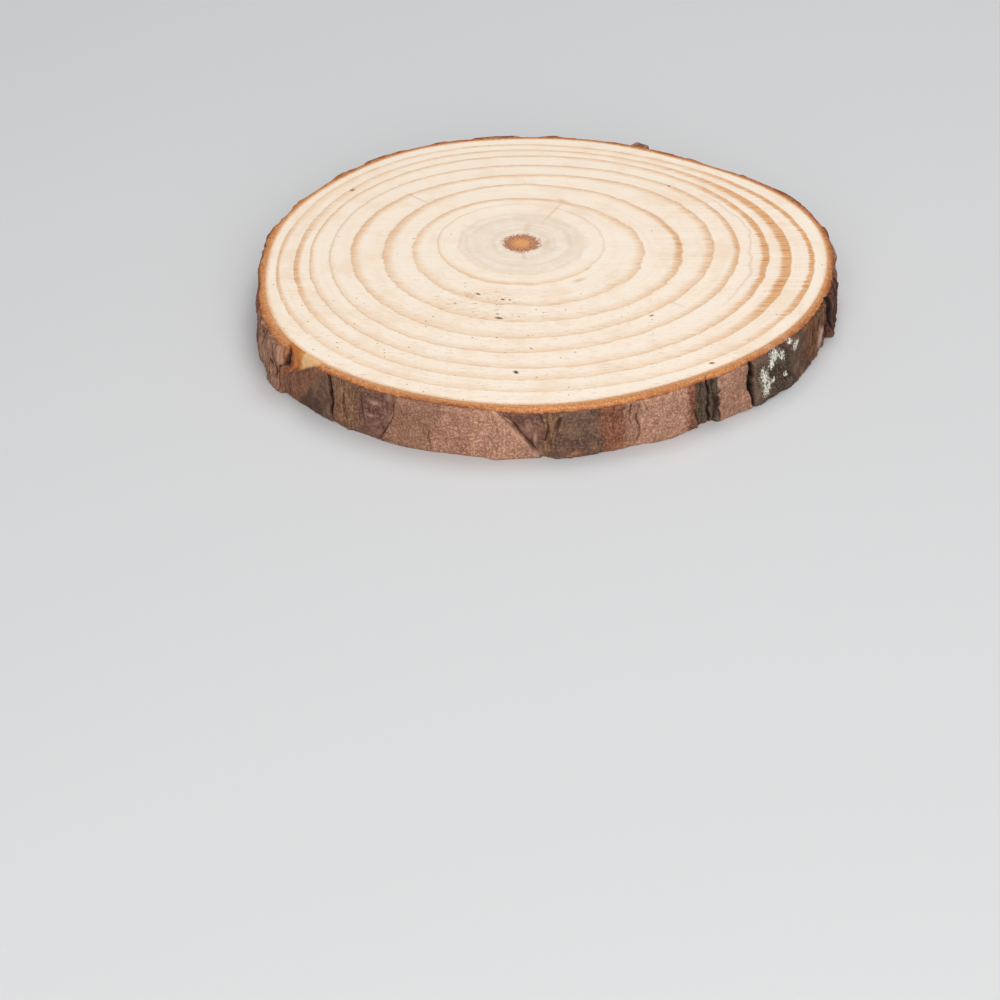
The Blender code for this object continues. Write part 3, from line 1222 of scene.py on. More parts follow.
# The raised edges of scales, whose depth is how far they stand out; they are painted pale along
# their length as a highlight
FRONT_LIPS = tuple(
    FineCrack(*row) for row in (
        (264.6, 9.2, 267.8, 6.9, 0.16, 0.07), (267.6, 7.1, 269.0, 4.8, 0.18, 0.09),
        (268.9, 5.0, 271.6, 1.9, 0.16, 0.07), (277.9, 9.1, 275.2, 6.9, 0.24, 0.2),
        (275.3, 7.1, 274.7, 3.6, 0.16, 0.12), (271.8, 5.2, 272.2, 2.2, 0.26, 0.16),
        (241.8, 8.0, 244.4, 6.6, 0.16, 0.14), (242.2, 5.0, 245.6, 4.4, 0.16, 0.12),
        (237.6, 6.9, 239.2, 5.4, 0.16, 0.12), (236.0, 8.6, 236.4, 3.4, 0.14, 0.12),
        (290.0, 9.2, 291.2, 6.8, 0.16, 0.12), (291.1, 7.0, 292.8, 5.6, 0.16, 0.12),
        (306.1, 8.9, 306.4, 6.4, 0.14, 0.12), (325.8, 3.8, 328.6, 0.6, 0.14, 0.1),
        (322.0, 4.4, 326.0, 2.6, 0.1, 0.1),
    )
)


class Layer(Enum):
    """The layers of noise on the bark: a cell's width and height, how strong it is, and a seed."""

    CHIP_EDGE = (0.8, 1.2, 1.0, 1)
    CRACK_STRAY = (2.0, 1.3, 0.3, 3)
    BORDER_SWAY = (3.0, 2.4, 0.5, 4)
    BACK_GAPS = (9.0, 9.5, 0.45, 5)
    BORDER_FRAY = (0.8, 0.8, 0.35, 6)
    BROAD_SCALES = (5.0, 3.2, 1.0, 10)
    SMALL_SCALES = (1.8, 1.3, 0.5, 11)
    FINE_GRAIN = (0.5, 0.5, 0.07, 12)
    COARSE_GRAIN = (1.1, 1.1, 0.05, 13)
    LONG_FIBRES = (0.55, 4.0, 0.14, 14)
    SHORT_FIBRES = (0.35, 2.2, 0.08, 15)
    RESIN_DRIPS = (1.0, 3.0, 0.16, 16)
    BARE_FIBRES = (0.8, 1.6, 0.06, 17)
    LICHEN_CRUST = (0.4, 0.4, 1.0, 18)
    RIM_TEAR = (0.5, 1.5, 1.0, 20)


class MarkKind(Enum):
    """What a mark on the face of the bark is."""

    LICHEN = "lichen"
    SCUFF = "scuff"
    WORN = "worn"
    HOLE = "hole"


@dataclass(frozen=True)
class Mark:
    """An oval mark on the face of the bark."""

    angle: float
    height: float
    half_width: float  # in degrees
    half_height: float
    depth: float = 1.0


# Each mark's angle and height, half its width and height, and its depth where that is not 1
MARKS: dict[MarkKind, tuple[tuple[float, ...], ...]] = {
    MarkKind.LICHEN: (
        (319.0, 8.2, 1.5, 1.2), (321.0, 7.6, 0.8, 0.9), (318.3, 6.8, 0.7, 0.9),
        (316.4, 5.2, 1.1, 1.3), (316.1, 6.8, 0.5, 0.7), (317.0, 3.0, 1.2, 1.5),
        (318.5, 3.8, 0.6, 0.6), (325.0, 7.8, 0.9, 1.0), (323.4, 9.1, 0.7, 0.4),
        (322.2, 3.5, 0.8, 0.4),
    ),
    MarkKind.SCUFF: (
        (243.4, 6.9, 1.3, 0.35, 0.45), (243.3, 4.4, 1.3, 0.25, 0.4), (246.3, 8.7, 0.6, 0.7, 0.3),
        (270.8, 6.4, 0.5, 1.0, 0.3), (272.0, 4.2, 0.4, 0.9, 0.3), (272.6, 1.0, 0.7, 0.7, 0.4),
        (305.9, 7.8, 0.18, 1.2, 0.6), (336.2, 4.0, 1.2, 1.4), (337.2, 2.8, 1.7, 2.0),
        (211.0, 3.4, 3.4, 2.6, 0.3),
    ),
    MarkKind.WORN: (
        (278.6, 0.8, 2.0, 0.8), (282.2, 1.5, 0.6, 0.9), (259.4, 0.4, 1.8, 0.6),
        (236.4, 1.6, 1.6, 0.9), (286.6, 1.2, 1.2, 0.6), (220.9, 4.0, 0.5, 0.9),
    ),
    MarkKind.HOLE: ((216.9, 4.2, 0.8, 0.7),),
}


@dataclass(frozen=True)
class Chip:
    """The three-cornered chip out of the top edge, which shows resin and bare inner bark."""

    start: float = 221.6
    end: float = 231.0
    drop: float = 5.2  # how far down its first side reaches
    resin_end: float = 226.2

    def open(self, angles: Array, heights: Array, top: float) -> Array:
        """Where the chip is.

        Args:
            angles: Of each place.
            heights: Of each place.
            top: The height of the rim.

        Returns:
            1 inside the chip, 0 on the bark round it.
        """
        across = (angles - self.start) / (self.end - self.start)
        floor = top - self.drop * (1.0 - across)
        inside = smooth_step(-0.03, 0.03, across) * smooth_step(1.03, 0.97, across)
        return inside * smooth_step(-0.15, 0.15, heights - floor)


@dataclass(frozen=True)
class BarkFinish:
    """Weathered pine bark, its sawn rim, and what is on it."""

    lighter: Colour = (1.4, 1.42, 1.44)  # what its light grains have of a plate's own tone
    light_grain: Colour = paint(232, 196, 170)
    dark_grain: Colour = paint(62, 35, 24)
    dust: Colour = paint(170, 130, 102)
    # Painted shade in the cracks: near black where they are deep, dark red-brown where they are
    # shallow
    crack: Colour = paint(20, 13, 10)
    shallow_crack: Colour = paint(70, 38, 28)
    rim: Colour = paint(225, 149, 90)
    rim_light: Colour = paint(244, 196, 146)
    rim_dark: Colour = paint(172, 94, 52)
    rim_border: Colour = paint(120, 68, 44)
    bare: Colour = paint(255, 208, 150)
    amber: Colour = paint(230, 156, 46)
    resin: Colour = paint(212, 128, 62)
    resin_dark: Colour = paint(164, 88, 44)
    lichen: Colour = paint(250, 246, 232)
    scuff: Colour = paint(228, 184, 162)
    worn: Colour = paint(198, 124, 78)
    roughness: float = 0.86
    resin_roughness: float = 0.3
    grain_depth: float = 0.06

    def material(self, effects: Effects) -> Material:
        """The finish as a material.

        Args:
            effects: The shared effects.

        Returns:
            A material that reads the masks and the tone of the bark's mesh.
        """
        made, tree, shader = new_material("pine_bark")
        where = tree.place()
        mottle = tree.use(effects.mottling, Patches_per_mm=0.45, Grains_per_mm=2.6, Contrast=2.8)
        fibres = tree.use(
            effects.streaks, Along_X=3.0, Across_X=3.0, Along_Z=0.4, Low=0.49, High=0.6
        )
        reach = self._sawn_reach(tree, where)
        sawn = tree.between(reach, -0.1, 0.1)
        colour = self._face(tree, effects, mottle, fibres)
        uneven = tree.level(mottle.outputs["Patches"], 0.35, 0.95)
        border = tree.times(tree.between(reach, -0.45, -0.1), uneven)
        colour = tree.mix(border, colour, self.rim_border)
        colour = tree.mix(sawn, colour, self._rim(tree, where, reach, mottle))
        colour = self._chip(tree, colour, mottle)
        colour = self._growths(tree, effects, colour, where)
        # Painted shade in the open cracks, the thin cracks and the hole, darker the deeper they
        # are, and weaker on the sawn rim
        uncut = tree.math("SUBTRACT", 1.0, tree.times(sawn, 0.75))
        cracked = tree.times(tree.mask("crack"), uncut)
        colour = tree.mix(tree.between(cracked, 0.05, 0.5, 0.0, 0.85), colour, self.shallow_crack)
        colour = tree.mix(tree.between(cracked, 0.45, 0.95, 0.0, 0.97), colour, self.crack)
        tree.feed(shader.inputs["Base Color"], colour)
        rough = tree.level(mottle.outputs["Grain"], self.roughness - 0.1, self.roughness + 0.08)
        resin = tree.times(tree.mask("resin"), tree.level(mottle.outputs["Patches"], 1.0, 0.4))
        tree.feed(shader.inputs["Roughness"], tree.level(resin, rough, self.resin_roughness))
        tree.feed(shader.inputs["Coat Weight"], tree.times(resin, 0.6))
        shader.inputs["Specular IOR Level"].default_value = 0.25
        height = tree.moved(mottle.outputs["Grain"], fibres.outputs["Height"], 0.7)
        bump(tree, shader, height, self.grain_depth)
        return made

    def _sawn_reach(self, tree: Tree, where: Socket) -> Socket:
        """How far inside the sawn part's ragged border a place is, in millimetres."""
        torn = tree.swing(where, 1.5, detail=5.0, rough=0.7)
        return tree.moved(tree.mask("sawn"), torn, 1.5)

    def _face(self, tree: Tree, effects: Effects, mottle: Node, fibres: Node) -> Socket:
        """The plates: their own tone, light and dark grains, fibres where they have weathered, and
        painted highlight and shade on what stands out and what lies low.

        Args:
            tree: The material's tree.
            effects: The shared effects.
            mottle: The mottling.
            fibres: The streaks up the trunk.

        Returns:
            Their colour.
        """
        tone = tree.tone("tone")
        granular = tree.mask("granular")
        grain, patches = mottle.outputs["Grain"], mottle.outputs["Patches"]
        pale = tree.mix(0.16, tree.mix(1.0, tone, self.lighter, "MULTIPLY"), self.light_grain)
        deep = tree.mix(0.55, tone, self.dark_grain)
        colour = tree.mix(tree.between(patches, 0.5, 1.0, 0.0, 0.3), tone, self.dust)
        colour = tree.mix(tree.between(patches, 0.4, 0.0, 0.0, 0.3), colour, self.dark_grain)
        light = tree.times(tree.between(grain, 0.4, 1.0, 0.0, 0.95), granular)
        dark = tree.times(tree.between(grain, 0.45, 0.0, 0.0, 0.6), granular)
        colour = tree.mix(light, colour, pale)
        colour = tree.mix(dark, colour, deep)
        fibrous = tree.mask("fibrous")
        stripes = tree.times(fibres.outputs["Streaks"], fibrous)
        colour = tree.mix(tree.times(stripes, 0.85), colour, deep)
        bright = tree.times(tree.between(fibres.outputs["Height"], 0.47, 0.38), fibrous)
        colour = tree.mix(tree.times(bright, 0.9), colour, pale)
        for rate, size, strength, hue in ((3.4, 0.44, 1.2, pale), (2.6, 0.42, 1.0, deep)):
            dots = tree.use(effects.specks, Dots_per_mm=rate, Size=size, Share=0.3)
            amount = tree.times(tree.times(dots.outputs["Dots"], granular), strength, clamp=True)
            colour = tree.mix(amount, colour, hue)
        # Painted highlight along the raised edges of scales
        colour = tree.mix(tree.times(tree.mask("lip"), 5.0, clamp=True), colour, pale)
        # Painted highlight with wear where the face stands out, painted shade in its hollows
        painted_relief_shading = tree.mask("painted_relief_shading")
        colour = tree.mix(tree.between(painted_relief_shading, 0.2, 1.0, 0.0, 0.4), colour, pale)
        return tree.mix(tree.between(painted_relief_shading, -0.2, -1.0, 0.0, 0.8), colour, deep)

    def _rim(self, tree: Tree, where: Socket, reach: Socket, mottle: Node) -> Socket:
        """The sawn rim: orange inner bark, torn into short light and dark fibres, darker outwards.

        Args:
            tree: The material's tree.
            where: The place.
            reach: How far inside the border of the sawn part it is.
            mottle: The mottling.

        Returns:
            Its colour.
        """
        torn = tree.noise(where, 3.0, detail=4.0, rough=0.7)
        colour = tree.mix(tree.between(torn, 0.5, 0.68, 0.0, 0.9), self.rim, self.rim_light)
        colour = tree.mix(tree.between(torn, 0.48, 0.32, 0.0, 0.85), colour, self.rim_dark)
        uneven = tree.level(mottle.outputs["Patches"], 0.4, 0.9)
        outer = tree.times(tree.between(reach, 1.3, 0.1), uneven)
        colour = tree.mix(outer, colour, self.rim_dark)
        inner = tree.times(tree.between(tree.mask("rim_out"), 0.6, 0.0), 0.5)
        return tree.mix(inner, colour, self.rim_light)

    def _chip(self, tree: Tree, colour: Socket, mottle: Node) -> Socket:
        """The chip's bare inner bark, and the resin that has run over it.

        Args:
            tree: The material's tree.
            colour: What is painted over.
            mottle: The mottling.

        Returns:
            The colour with the chip.
        """
        grain = mottle.outputs["Grain"]
        bare = tree.mix(tree.between(grain, 0.45, 0.05, 0.0, 0.4), self.bare, self.rim)
        colour = tree.mix(tree.mask("bare"), colour, bare)
        patches = mottle.outputs["Patches"]
        resin = tree.mix(tree.between(patches, 0.6, 0.3, 0.0, 0.85), self.resin, self.resin_dark)
        resin = tree.mix(tree.times(tree.mask("amber"), 0.85), resin, self.amber)
        colour = tree.mix(tree.mask("resin"), colour, resin)
        torn = tree.times(tree.mask("fringe"), tree.between(grain, 0.1, 0.6))
        return tree.mix(tree.times(torn, 0.8), colour, self.rim)

    def _growths(self, tree: Tree, effects: Effects, colour: Socket, where: Socket) -> Socket:
        """Pale scuffs, and white lichen in broken crusts.

        Args:
            tree: The material's tree.
            effects: The shared effects.
            colour: What is painted over.
            where: The place.

        Returns:
            The colour with both.
        """
        broken = tree.noise(where, 1.5, detail=4.0, rough=0.7)
        scuffed = tree.times(tree.mask("scuff"), tree.between(broken, 0.32, 0.5, 0.35, 0.95))
        colour = tree.mix(scuffed, colour, self.scuff)
        worn = tree.times(tree.mask("worn"), tree.between(broken, 0.42, 0.6))
        colour = tree.mix(tree.times(worn, 0.55), colour, self.worn)
        drawn = tree.use(
            effects.streaks, Along_X=4.0, Across_X=4.0, Along_Z=2.2, Low=0.4, High=0.6
        )
        uneven = tree.math("SUBTRACT", drawn.outputs["Height"], 0.5)
        crust = tree.math("ADD", tree.mask("lichen"), tree.times(uneven, 4.5))
        near = tree.between(tree.mask("lichen"), 0.0, 0.12)
        grown = tree.times(tree.between(crust, 0.4, 1.0, 0.0, 0.95), near)
        return tree.mix(grown, colour, self.lichen)


FACE_MASKS = (
    "fibrous", "granular", "resin", "bare", "amber", "fringe",
    "lichen", "scuff", "worn", "lip", "painted_relief_shading",
)


@dataclass
class Bark:
    """The ring of bark: its sawn rims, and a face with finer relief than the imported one."""

    frame: Frame
    effects: Effects
    finish: BarkFinish = field(default_factory=BarkFinish)
    chip: Chip = field(default_factory=Chip)
    columns: int = 1600
    rows: int = 50
    rim_rings: int = 6
    under_rings: int = 3
    margin: float = 0.02  # from the first and last rows of the face to the sawn faces
    edge_view: float = 1.6  # how much a drop below the rim counts against a way across it
    foot_width: float = 1.0  # how far the orange reaches out on the underside
    thinnest: float = 0.35  # what is left of the bark at the least
    crack_span: float = 2.6  # how far a crack's depth is read to each side, in degrees
    crack_share_span: float = 3.0  # how far round a packed crack its own share holds
    filled: float = 0.9  # how much of a closed crack's depth is filled
    deepened: float = 0.3  # how much deeper an open one gets
    rim_tear: float = 0.05
    scale_height: float = 0.14
    resin_height: float = 0.08
    lichen_height: float = 0.12
    hole_depth: float = 0.7
    thin_darkness: float = 2.2  # how dark the painted shade in a thin crack is for its depth
    seed: int = 40

    def build(self) -> Object:
        """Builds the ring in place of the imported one.

        Returns:
            The finished piece.
        """
        top = self.frame.thickness
        angles = np.arange(self.columns) * TURN / self.columns
        heights = np.linspace(top - self.margin, self.margin, self.rows)
        wood = self.frame.wood_reach(angles)
        packed = self._run_on(angles, self.frame.bark_reach(angles, heights) - wood) + wood
        turned, raised = np.meshgrid(angles, heights)
        masks = self._masks(turned, raised, packed - wood)
        relief = self._relief(turned, raised, masks)
        reach = np.maximum(packed + masks["filling"] + relief, wood + self.thinnest)
        filled = packed + np.maximum(self._hollow(packed - wood), 0.0)
        # Painted highlight and shade: how far each place stands out from the face round it
        masks["painted_relief_shading"] = self._swell(filled + relief)
        masks["sawn"] = self._sawn(turned, raised, reach - wood)
        return self._assemble(angles, wood, reach, raised, masks)

    @staticmethod
    def _run_on(angles: Array, thickness: Array) -> Array:
        """Lets plates beside the widest packed cracks run on, so that narrow gaps are left.

        Args:
            angles: Of the columns.
            thickness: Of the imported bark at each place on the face.

        Returns:
            The thickness with those plates.
        """
        for start, end in RUN_ON_PLATES:
            plate = thickness[:, [np.searchsorted(angles, start)]]
            way = math.copysign(1.0, end - start)
            on = (way * (angles - start) > 0.0) * smooth_step(0.5, -0.5, way * (angles - end))
            thickness = thickness + np.maximum(plate - thickness, 0.0) * on
        return thickness

    def _noise(self, turned: Array, raised: Array, layer: Layer) -> Array:
        """A layer of noise on the face of the bark.

        Args:
            turned: The angle of each place on the face.
            raised: The height of each place on the face.
            layer: Which one.

        Returns:
            Its value at each place.
        """
        wide, tall, strength, seed = layer.value
        cells = (round(GIRTH / wide), max(1, round(self.frame.thickness / tall)))
        share = np.clip(raised / self.frame.thickness, 0.0, 1.0)
        return strength * cell_noise(turned / TURN, share, cells, self.seed + seed)

    def _masks(self, turned: Array, raised: Array, thickness: Array) -> Masks:
        """Where the face is cracked, fibrous, granular, chipped, sawn or grown over.

        Args:
            turned: The angle of each place on the face.
            raised: The height of each place on the face.
            thickness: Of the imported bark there.

        Returns:
            A value for each place, by the name of the mask.
        """
        top = self.frame.thickness
        hollow = self._hollow(thickness)
        kept = self._kept(turned, raised)
        least = 0.15 + 0.3 * smooth_step(0.8, 1.0, kept)
        kept = kept * smooth_step(0.0, 0.3, hollow - least)
        filled = np.maximum(hollow, 0.0) * (1.0 - kept) * self.filled
        masks = {"filling": filled - self.deepened * kept}
        masks["thin"] = self._lines((*FRONT_CRACKS, *self._drawn_cracks()), turned, raised)
        masks["lip"] = self._lines(FRONT_LIPS, turned, raised)
        masks["tone"], masks["fibrous"], masks["granular"] = self._patches(turned, raised, hollow)
        chip = self.chip.open(turned, raised, top)
        torn = self._noise(turned, raised, Layer.CHIP_EDGE)
        resin = smooth_step(0.5, -0.5, turned + 0.5 * torn - self.chip.resin_end)
        masks["resin"], masks["bare"] = chip * resin, chip * (1.0 - resin)
        masks["amber"] = chip * lobe(turned + 0.4 * torn, self.chip.resin_end - 0.5, 0.5)
        masks["fringe"] = 4.0 * chip * (1.0 - chip)
        # Painted shade for the open cracks, little of it in the chip
        masks["crack"] = kept * (1.0 - 0.9 * chip)
        for kind in MarkKind:
            masks[kind.value] = self._marks(kind, turned, raised)
        masks["near_top"] = smooth_step(1.3, 0.2, top - raised)
        return masks

    def _hollow(self, thickness: Array) -> Array:
        """How far each place lies below the bark on both sides of it.

        Args:
            thickness: Of the bark at each place on the face.

        Returns:
            A depth for each place, above 0 only in the cracks.
        """
        shifts = range(1, round(self.crack_span / TURN * self.columns) + 1)
        before = np.mean([np.roll(thickness, shift, axis=1) for shift in shifts], axis=0)
        after = np.mean([np.roll(thickness, -shift, axis=1) for shift in shifts], axis=0)
        return np.minimum(before, after) - thickness

    def _kept(self, turned: Array, raised: Array) -> Array:
        """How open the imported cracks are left; the lesser ones close towards the rim.

        Args:
            turned: The angle of each place on the face.
            raised: The height of each place on the face.

        Returns:
            A share, 0 to 1.
        """
        behind = 0.55 + self._noise(turned, raised, Layer.BACK_GAPS)
        kept = np.where((turned > BACK_START) | (turned < FRONT_START), behind, 0.4)
        for angle, share in CRACKS_KEPT:
            kept += (share - kept) * lobe(turned, angle, self.crack_share_span)
        closing = smooth_step(1.5, 0.3, self.frame.thickness - raised) * smooth_step(1.0, 0.7, kept)
        return np.clip(kept * (1.0 - 0.7 * closing), 0.0, 1.0)

    @staticmethod
    def _swell(relief: Array) -> Array:
        """How far each place stands out from the face close by; the finish paints it lighter where
        it stands out, as painted highlight with wear, and darker in the hollows, as painted shade.

        Args:
            relief: How far out each place is.

        Returns:
            A value for each place, -1 to 1.
        """
        level = np.mean([np.roll(relief, shift, axis=1) for shift in range(-3, 4)], axis=0)
        padded = np.pad(level, ((3, 3), (0, 0)), mode="edge")
        level = np.mean([padded[row : row + len(relief)] for row in range(7)], axis=0)
        return np.clip((relief - level) / 0.2, -1.0, 1.0)

    def _sawn(self, turned: Array, raised: Array, out: Array) -> Array:
        """How far inside the border of the sawn, orange part a place is, in millimetres.

        Args:
            turned: The angle of each place on the face.
            raised: The height of each place on the face.
            out: How far from the wood it is.

        Returns:
            A distance for each place, below 0 outside the border.
        """
        angles, widths = zip(*SAWN_WIDTHS)
        width = np.interp(turned, angles, widths, period=TURN)
        upper = raised > self.frame.thickness / 2.0
        width = np.where(upper, width, np.minimum(width, self.foot_width))
        drop = np.minimum(self.frame.thickness - raised, raised)
        return np.clip(width - out - self.edge_view * drop, -2.0, 2.0)

    def _drawn_cracks(self) -> list[FineCrack]:
        """Draws thin cracks at random, for the back and for the plates that are fibrous.

        Returns:
            The cracks.
        """
        draw = np.random.default_rng(self.seed)
        cracks = []
        for angle in np.arange(BACK_START, FRONT_START + TURN, 6.0):
            at = angle + draw.uniform(-2.5, 2.5)
            high = draw.uniform(5.0, 9.4)
            low = draw.uniform(0.0, high - 2.5)
            lean = draw.uniform(-1.4, 1.4)
            ends = (at % TURN, high, (at + lean) % TURN, low)
            cracks.append(FineCrack(*ends, 0.15, draw.uniform(0.15, 0.45)))
        for patch, after in zip(FRONT_PATCHES, FRONT_PATCHES[1:]):
            if patch.fibrous < 0.8:
                continue
            for angle in np.arange(patch.start + 0.6, after.start - 0.4, 0.8):
                low = draw.uniform(0.0, 6.5)
                high = low + draw.uniform(2.0, 4.5)
                lean = draw.uniform(-0.5, 0.5)
                ends = (angle + lean, high, angle, low)
                cracks.append(FineCrack(*ends, 0.13, draw.uniform(0.12, 0.32)))
        return cracks

    def _lines(
        self, lines: tuple[FineCrack, ...], turned: Array, raised: Array
    ) -> Array:
        """The depth of some thin lines at each place.

        Args:
            lines: The lines.
            turned: The angle of each place on the face.
            raised: The height of each place on the face.

        Returns:
            The depth of the deepest one.
        """
        stray = self._noise(turned, raised, Layer.CRACK_STRAY)
        depth = np.zeros(turned.shape)
        for line in lines:
            share = (line.top_height - raised) / (line.top_height - line.foot_height)
            lean = (line.foot_angle - line.top_angle + TURN / 2.0) % TURN - TURN / 2.0
            along = smooth_step(-0.05, 0.1, share) * smooth_step(1.05, 0.85, share)
            across = lobe(turned + stray, line.top_angle + lean * share, line.width / MM_PER_DEGREE)
            depth = np.maximum(depth, line.depth * along * across)
        return depth

    def _patches(
        self, turned: Array, raised: Array, hollow: Array
    ) -> tuple[Array, Array, Array]:
        """The tone of each place, and how fibrous and granular it is.

        Args:
            turned: The angle of each place on the face.
            raised: The height of each place on the face.
            hollow: How far it lies in a crack.

        Returns:
            The tone, then the two shares.
        """
        middle = hollow[len(hollow) // 2]
        peak = (middle > 0.3) & (middle >= np.roll(middle, 1)) & (middle > np.roll(middle, -1))
        cracks = turned[0][peak]
        draw = np.random.default_rng(self.seed + 7)
        patches = list(FRONT_PATCHES)
        behind = cracks[(cracks > BACK_START) | (cracks < FRONT_START)]
        behind = np.sort(np.where(behind < FRONT_START, behind + TURN, behind))
        for angle in (BACK_START, *behind):
            tone = BACK_TONES[draw.integers(len(BACK_TONES))]
            patches.append(Patch(float(angle), tone, fibrous=draw.uniform(0.0, 0.8)))
        patches.append(Patch(LOOSE_FLAKE[0] + TURN, Tone.DARK, fibrous=1.0))
        patches.append(Patch(LOOSE_FLAKE[1] + TURN, Tone.BROWN))
        patches.sort(key=lambda patch: patch.start)
        around = FRONT_START + (turned - FRONT_START) % TURN
        up = raised / self.frame.thickness - 0.5
        blur = self._noise(turned, raised, Layer.BORDER_SWAY)
        blur = blur + self._noise(turned, raised, Layer.BORDER_FRAY)
        tone = np.broadcast_to(np.array(patches[-1].tone.value), (*turned.shape, 3)).copy()
        fibrous, granular = np.zeros(turned.shape), np.ones(turned.shape)
        for patch in patches:
            inside = smooth_step(-0.4, 0.4, around + blur - patch.start - patch.lean * up)
            tone += (np.array(patch.tone.value) - tone) * inside[..., None]
            fibrous += (patch.fibrous - fibrous) * inside
            granular += (patch.granular - granular) * inside
        return tone, fibrous, granular

    def _marks(self, kind: MarkKind, turned: Array, raised: Array) -> Array:
        """Where the marks of a kind are.

        Args:
            kind: Which ones.
            turned: The angle of each place on the face.
            raised: The height of each place on the face.

        Returns:
            How much of a mark lies at each place.
        """
        found = np.zeros(turned.shape)
        for mark in (Mark(*row) for row in MARKS[kind]):
            wide = (turned - mark.angle) / mark.half_width
            tall = (raised - mark.height) / mark.half_height
            found = np.maximum(found, mark.depth * smooth_step(1.5, 0.3, np.hypot(wide, tall)))
        return found

    def _relief(self, turned: Array, raised: Array, masks: Masks) -> Array:
        """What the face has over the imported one: flaking scales, grain, fibres and thin cracks.

        Args:
            turned: The angle of each place on the face.
            raised: The height of each place on the face.
            masks: Where the face is what.

        Returns:
            How far each place is moved out.
        """

        def layers(*chosen: Layer) -> Array:
            """The sum of some layers of noise."""
            return sum(self._noise(turned, raised, layer) for layer in chosen)

        open_face = 1.0 - np.maximum(masks["resin"], masks["bare"])
        broad = layers(Layer.BROAD_SCALES, Layer.SMALL_SCALES)
        scales = smooth_step(-0.12, 0.02, broad - 0.1) + smooth_step(-0.12, 0.02, broad + 0.45)
        relief = self.scale_height * (scales - 1.0)
        relief += masks["granular"] * layers(Layer.FINE_GRAIN, Layer.COARSE_GRAIN)
        relief += masks["fibrous"] * layers(Layer.LONG_FIBRES, Layer.SHORT_FIBRES)
        relief *= open_face
        relief += masks["resin"] * (self.resin_height + layers(Layer.RESIN_DRIPS))
        relief += masks["bare"] * layers(Layer.BARE_FIBRES)
        relief += self.lichen_height * masks["lichen"] * (1.0 + layers(Layer.LICHEN_CRUST)) / 2.0
        relief += masks["lip"] - masks["thin"] - self.hole_depth * masks["hole"]
        return relief * (1.0 - 0.75 * masks["near_top"])

    def _assemble(
        self,
        angles: Array,
        wood: Array,
        reach: Array,
        raised: Array,
        masks: Masks,
    ) -> Object:
        """Skins the rim, the face, the underside and the inner wall, and dresses them.

        Args:
            angles: Of the columns.
            wood: Where the wood ends, for each column.
            reach: Of the face, for each row and column.
            raised: The height of each place on the face.
            masks: Where the face is what.

        Returns:
            The finished piece.
        """
        top = self.frame.thickness
        in_share = np.linspace(0.0, 1.0, self.rim_rings, endpoint=False)[:, None]
        out_share = np.linspace(1.0, 0.0, self.under_rings + 1)[1:, None]
        rim = wood + (reach[0] - wood) * in_share
        under = wood + (reach[-1] - wood) * out_share
        turned = np.broadcast_to(angles, rim.shape)
        torn = self._noise(turned, in_share * top + 0.0 * turned, Layer.RIM_TEAR) - 1.0
        rim_height = top + self.rim_tear * torn * smooth_step(0.0, 0.2, in_share)
        rings = np.concatenate([rim, reach, under])
        heights = np.concatenate([rim_height, raised, np.zeros(under.shape)])
        mesh = Loft(rings, heights, angles).mesh("bark_ring", tube=True)
        before, after = len(rim), len(under)

        def spread(face: Array) -> Array:
            """A mask of the face, carried on over the rim and the underside."""
            first, last = np.repeat(face[:1], before, axis=0), np.repeat(face[-1:], after, axis=0)
            return np.concatenate([first, face, last])

        set_tone(mesh, "tone", spread(masks["tone"]))
        top_sawn = self._sawn(turned, top + 0.0 * rim, rim - wood)
        foot_sawn = self._sawn(turned[: len(under)], 0.0 * under, under - wood)
        set_mask(mesh, "sawn", np.concatenate([top_sawn, masks["sawn"], foot_sawn]))
        # Painted shade: the open cracks, the hole and the thin cracks, each by its depth
        cracked = masks["crack"] + masks["hole"] + self.thin_darkness * masks["thin"]
        set_mask(mesh, "crack", spread(np.clip(cracked, 0.0, 1.0)))
        for name in FACE_MASKS:
            set_mask(mesh, name, spread(masks[name]))
        set_mask(mesh, "rim_out", rings - wood)
        mesh.materials.append(self.finish.material(self.effects))
        mesh.shade_smooth()
        piece = bpy.data.objects.new("bark_ring", mesh)
        bpy.context.scene.collection.objects.link(piece)
        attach(piece, "root")
        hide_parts("bark")
        return piece


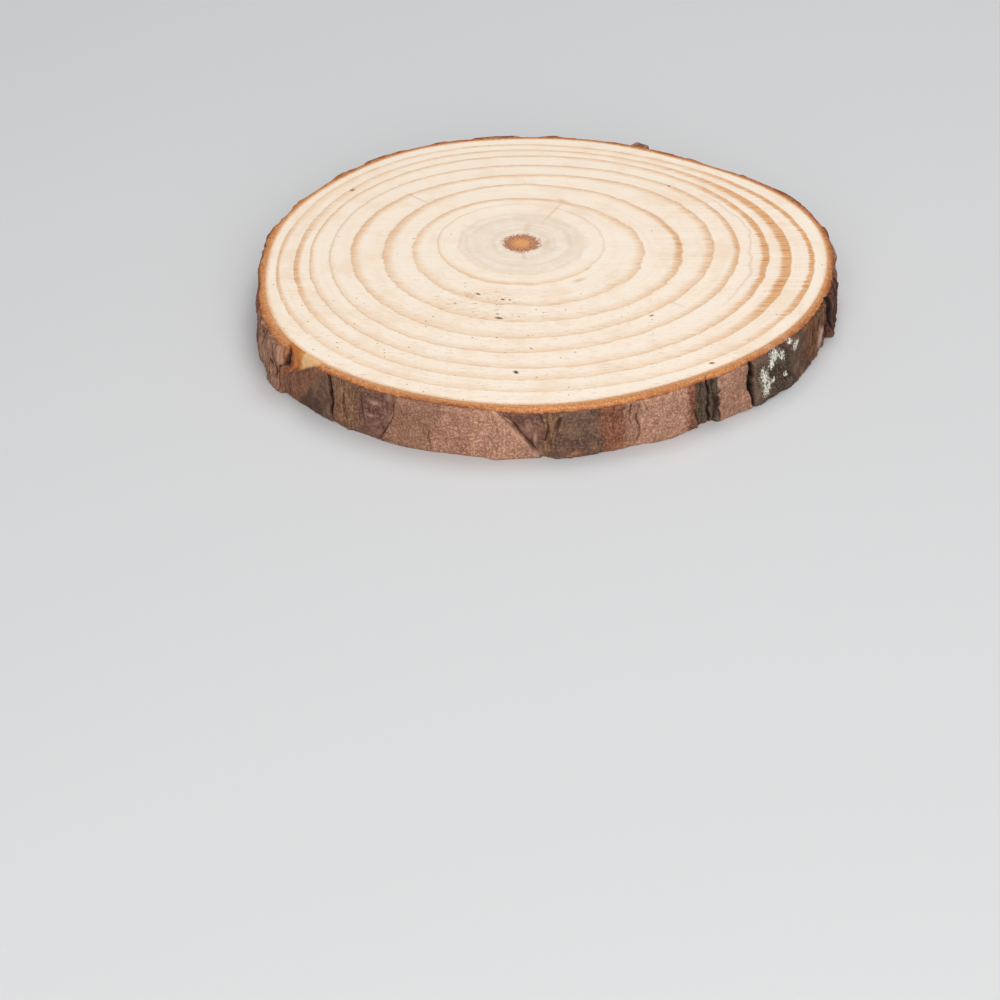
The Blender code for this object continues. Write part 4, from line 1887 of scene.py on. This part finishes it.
@dataclass
class Studio:
    """The floor, the lights and the camera."""

    floor_size: float = 4000.0
    floor_colour: Colour = paint(214, 214, 214)
    eye: tuple[float, float, float] = (-8.55, -446.83, 260.34)
    pitch: float = 34.0  # how far the camera looks down
    lens: float = 104.4
    sensor: float = 36.0
    near: float = 10.0
    far: float = 10000.0
    key_place: tuple[float, float, float] = (90.0, 190.0, 620.0)
    key_size: float = 420.0
    key_power: float = 1.8
    fill_place: tuple[float, float, float] = (40.0, -640.0, 400.0)
    fill_size: float = 800.0
    fill_power: float = 6.0
    sky: float = 0.24
    sky_colour: Colour = (0.93, 0.96, 1.0)

    def build(self) -> None:
        """Builds the floor, the lights, the sky and the camera."""
        self._floor()
        self._light("key", self.key_place, self.key_size, self.key_power)
        self._light("fill", self.fill_place, self.fill_size, self.fill_power)
        world = bpy.data.worlds.new("sky")
        world.use_nodes = True
        background = world.node_tree.nodes["Background"]
        background.inputs["Color"].default_value = (*self.sky_colour, 1.0)
        background.inputs["Strength"].default_value = self.sky
        bpy.context.scene.world = world
        bpy.context.scene.view_settings.view_transform = "Standard"
        lens = bpy.data.cameras.new("camera")
        lens.lens, lens.sensor_width = self.lens, self.sensor
        lens.clip_start, lens.clip_end = self.near * MM, self.far * MM
        camera = bpy.data.objects.new("camera", lens)
        camera.location = [part * MM for part in self.eye]
        camera.rotation_euler = (math.radians(90.0 - self.pitch), 0.0, 0.0)
        bpy.context.scene.collection.objects.link(camera)
        bpy.context.scene.camera = camera

    def _floor(self) -> None:
        """A plain pale floor."""
        half = self.floor_size * MM / 2.0
        mesh = bpy.data.meshes.new("floor")
        corners = [(-half, -half, 0), (half, -half, 0), (half, half, 0), (-half, half, 0)]
        mesh.from_pydata(corners, [], [(0, 1, 2, 3)])
        material, tree, shader = new_material("pale_floor")
        tree.feed(shader.inputs["Base Color"], self.floor_colour)
        shader.inputs["Roughness"].default_value = 0.9
        mesh.materials.append(material)
        floor = bpy.data.objects.new("floor", mesh)
        bpy.context.scene.collection.objects.link(floor)

    @staticmethod
    def _light(name: str, place: tuple[float, float, float], size: float, power: float) -> None:
        """A square soft light that faces the slice.

        Args:
            name: Its name.
            place: Where it is.
            size: Its width.
            power: In watts.
        """
        light = bpy.data.lights.new(name, "AREA")
        light.energy, light.size = power, size * MM
        lamp = bpy.data.objects.new(name, light)
        lamp.location = [part * MM for part in place]
        lamp.rotation_euler = (-Vector(place)).to_track_quat("-Z", "Y").to_euler()
        bpy.context.scene.collection.objects.link(lamp)


def main() -> None:
    """Builds the studio and the pieces in order, and reports each."""
    logging.basicConfig(level=logging.INFO, format="%(name)s: %(message)s")
    Studio().build()
    shape = Frame(frame["nodes"]["wood"], frame["nodes"]["bark"])
    effects = Effects()
    for part in (Wood(shape, effects), Bark(shape, effects)):
        piece = part.build()
        triangles = sum(len(face.vertices) - 2 for face in piece.data.polygons)
        log.info("%s has %d triangles", piece.name, triangles)


if __name__ == "__main__":
    main()
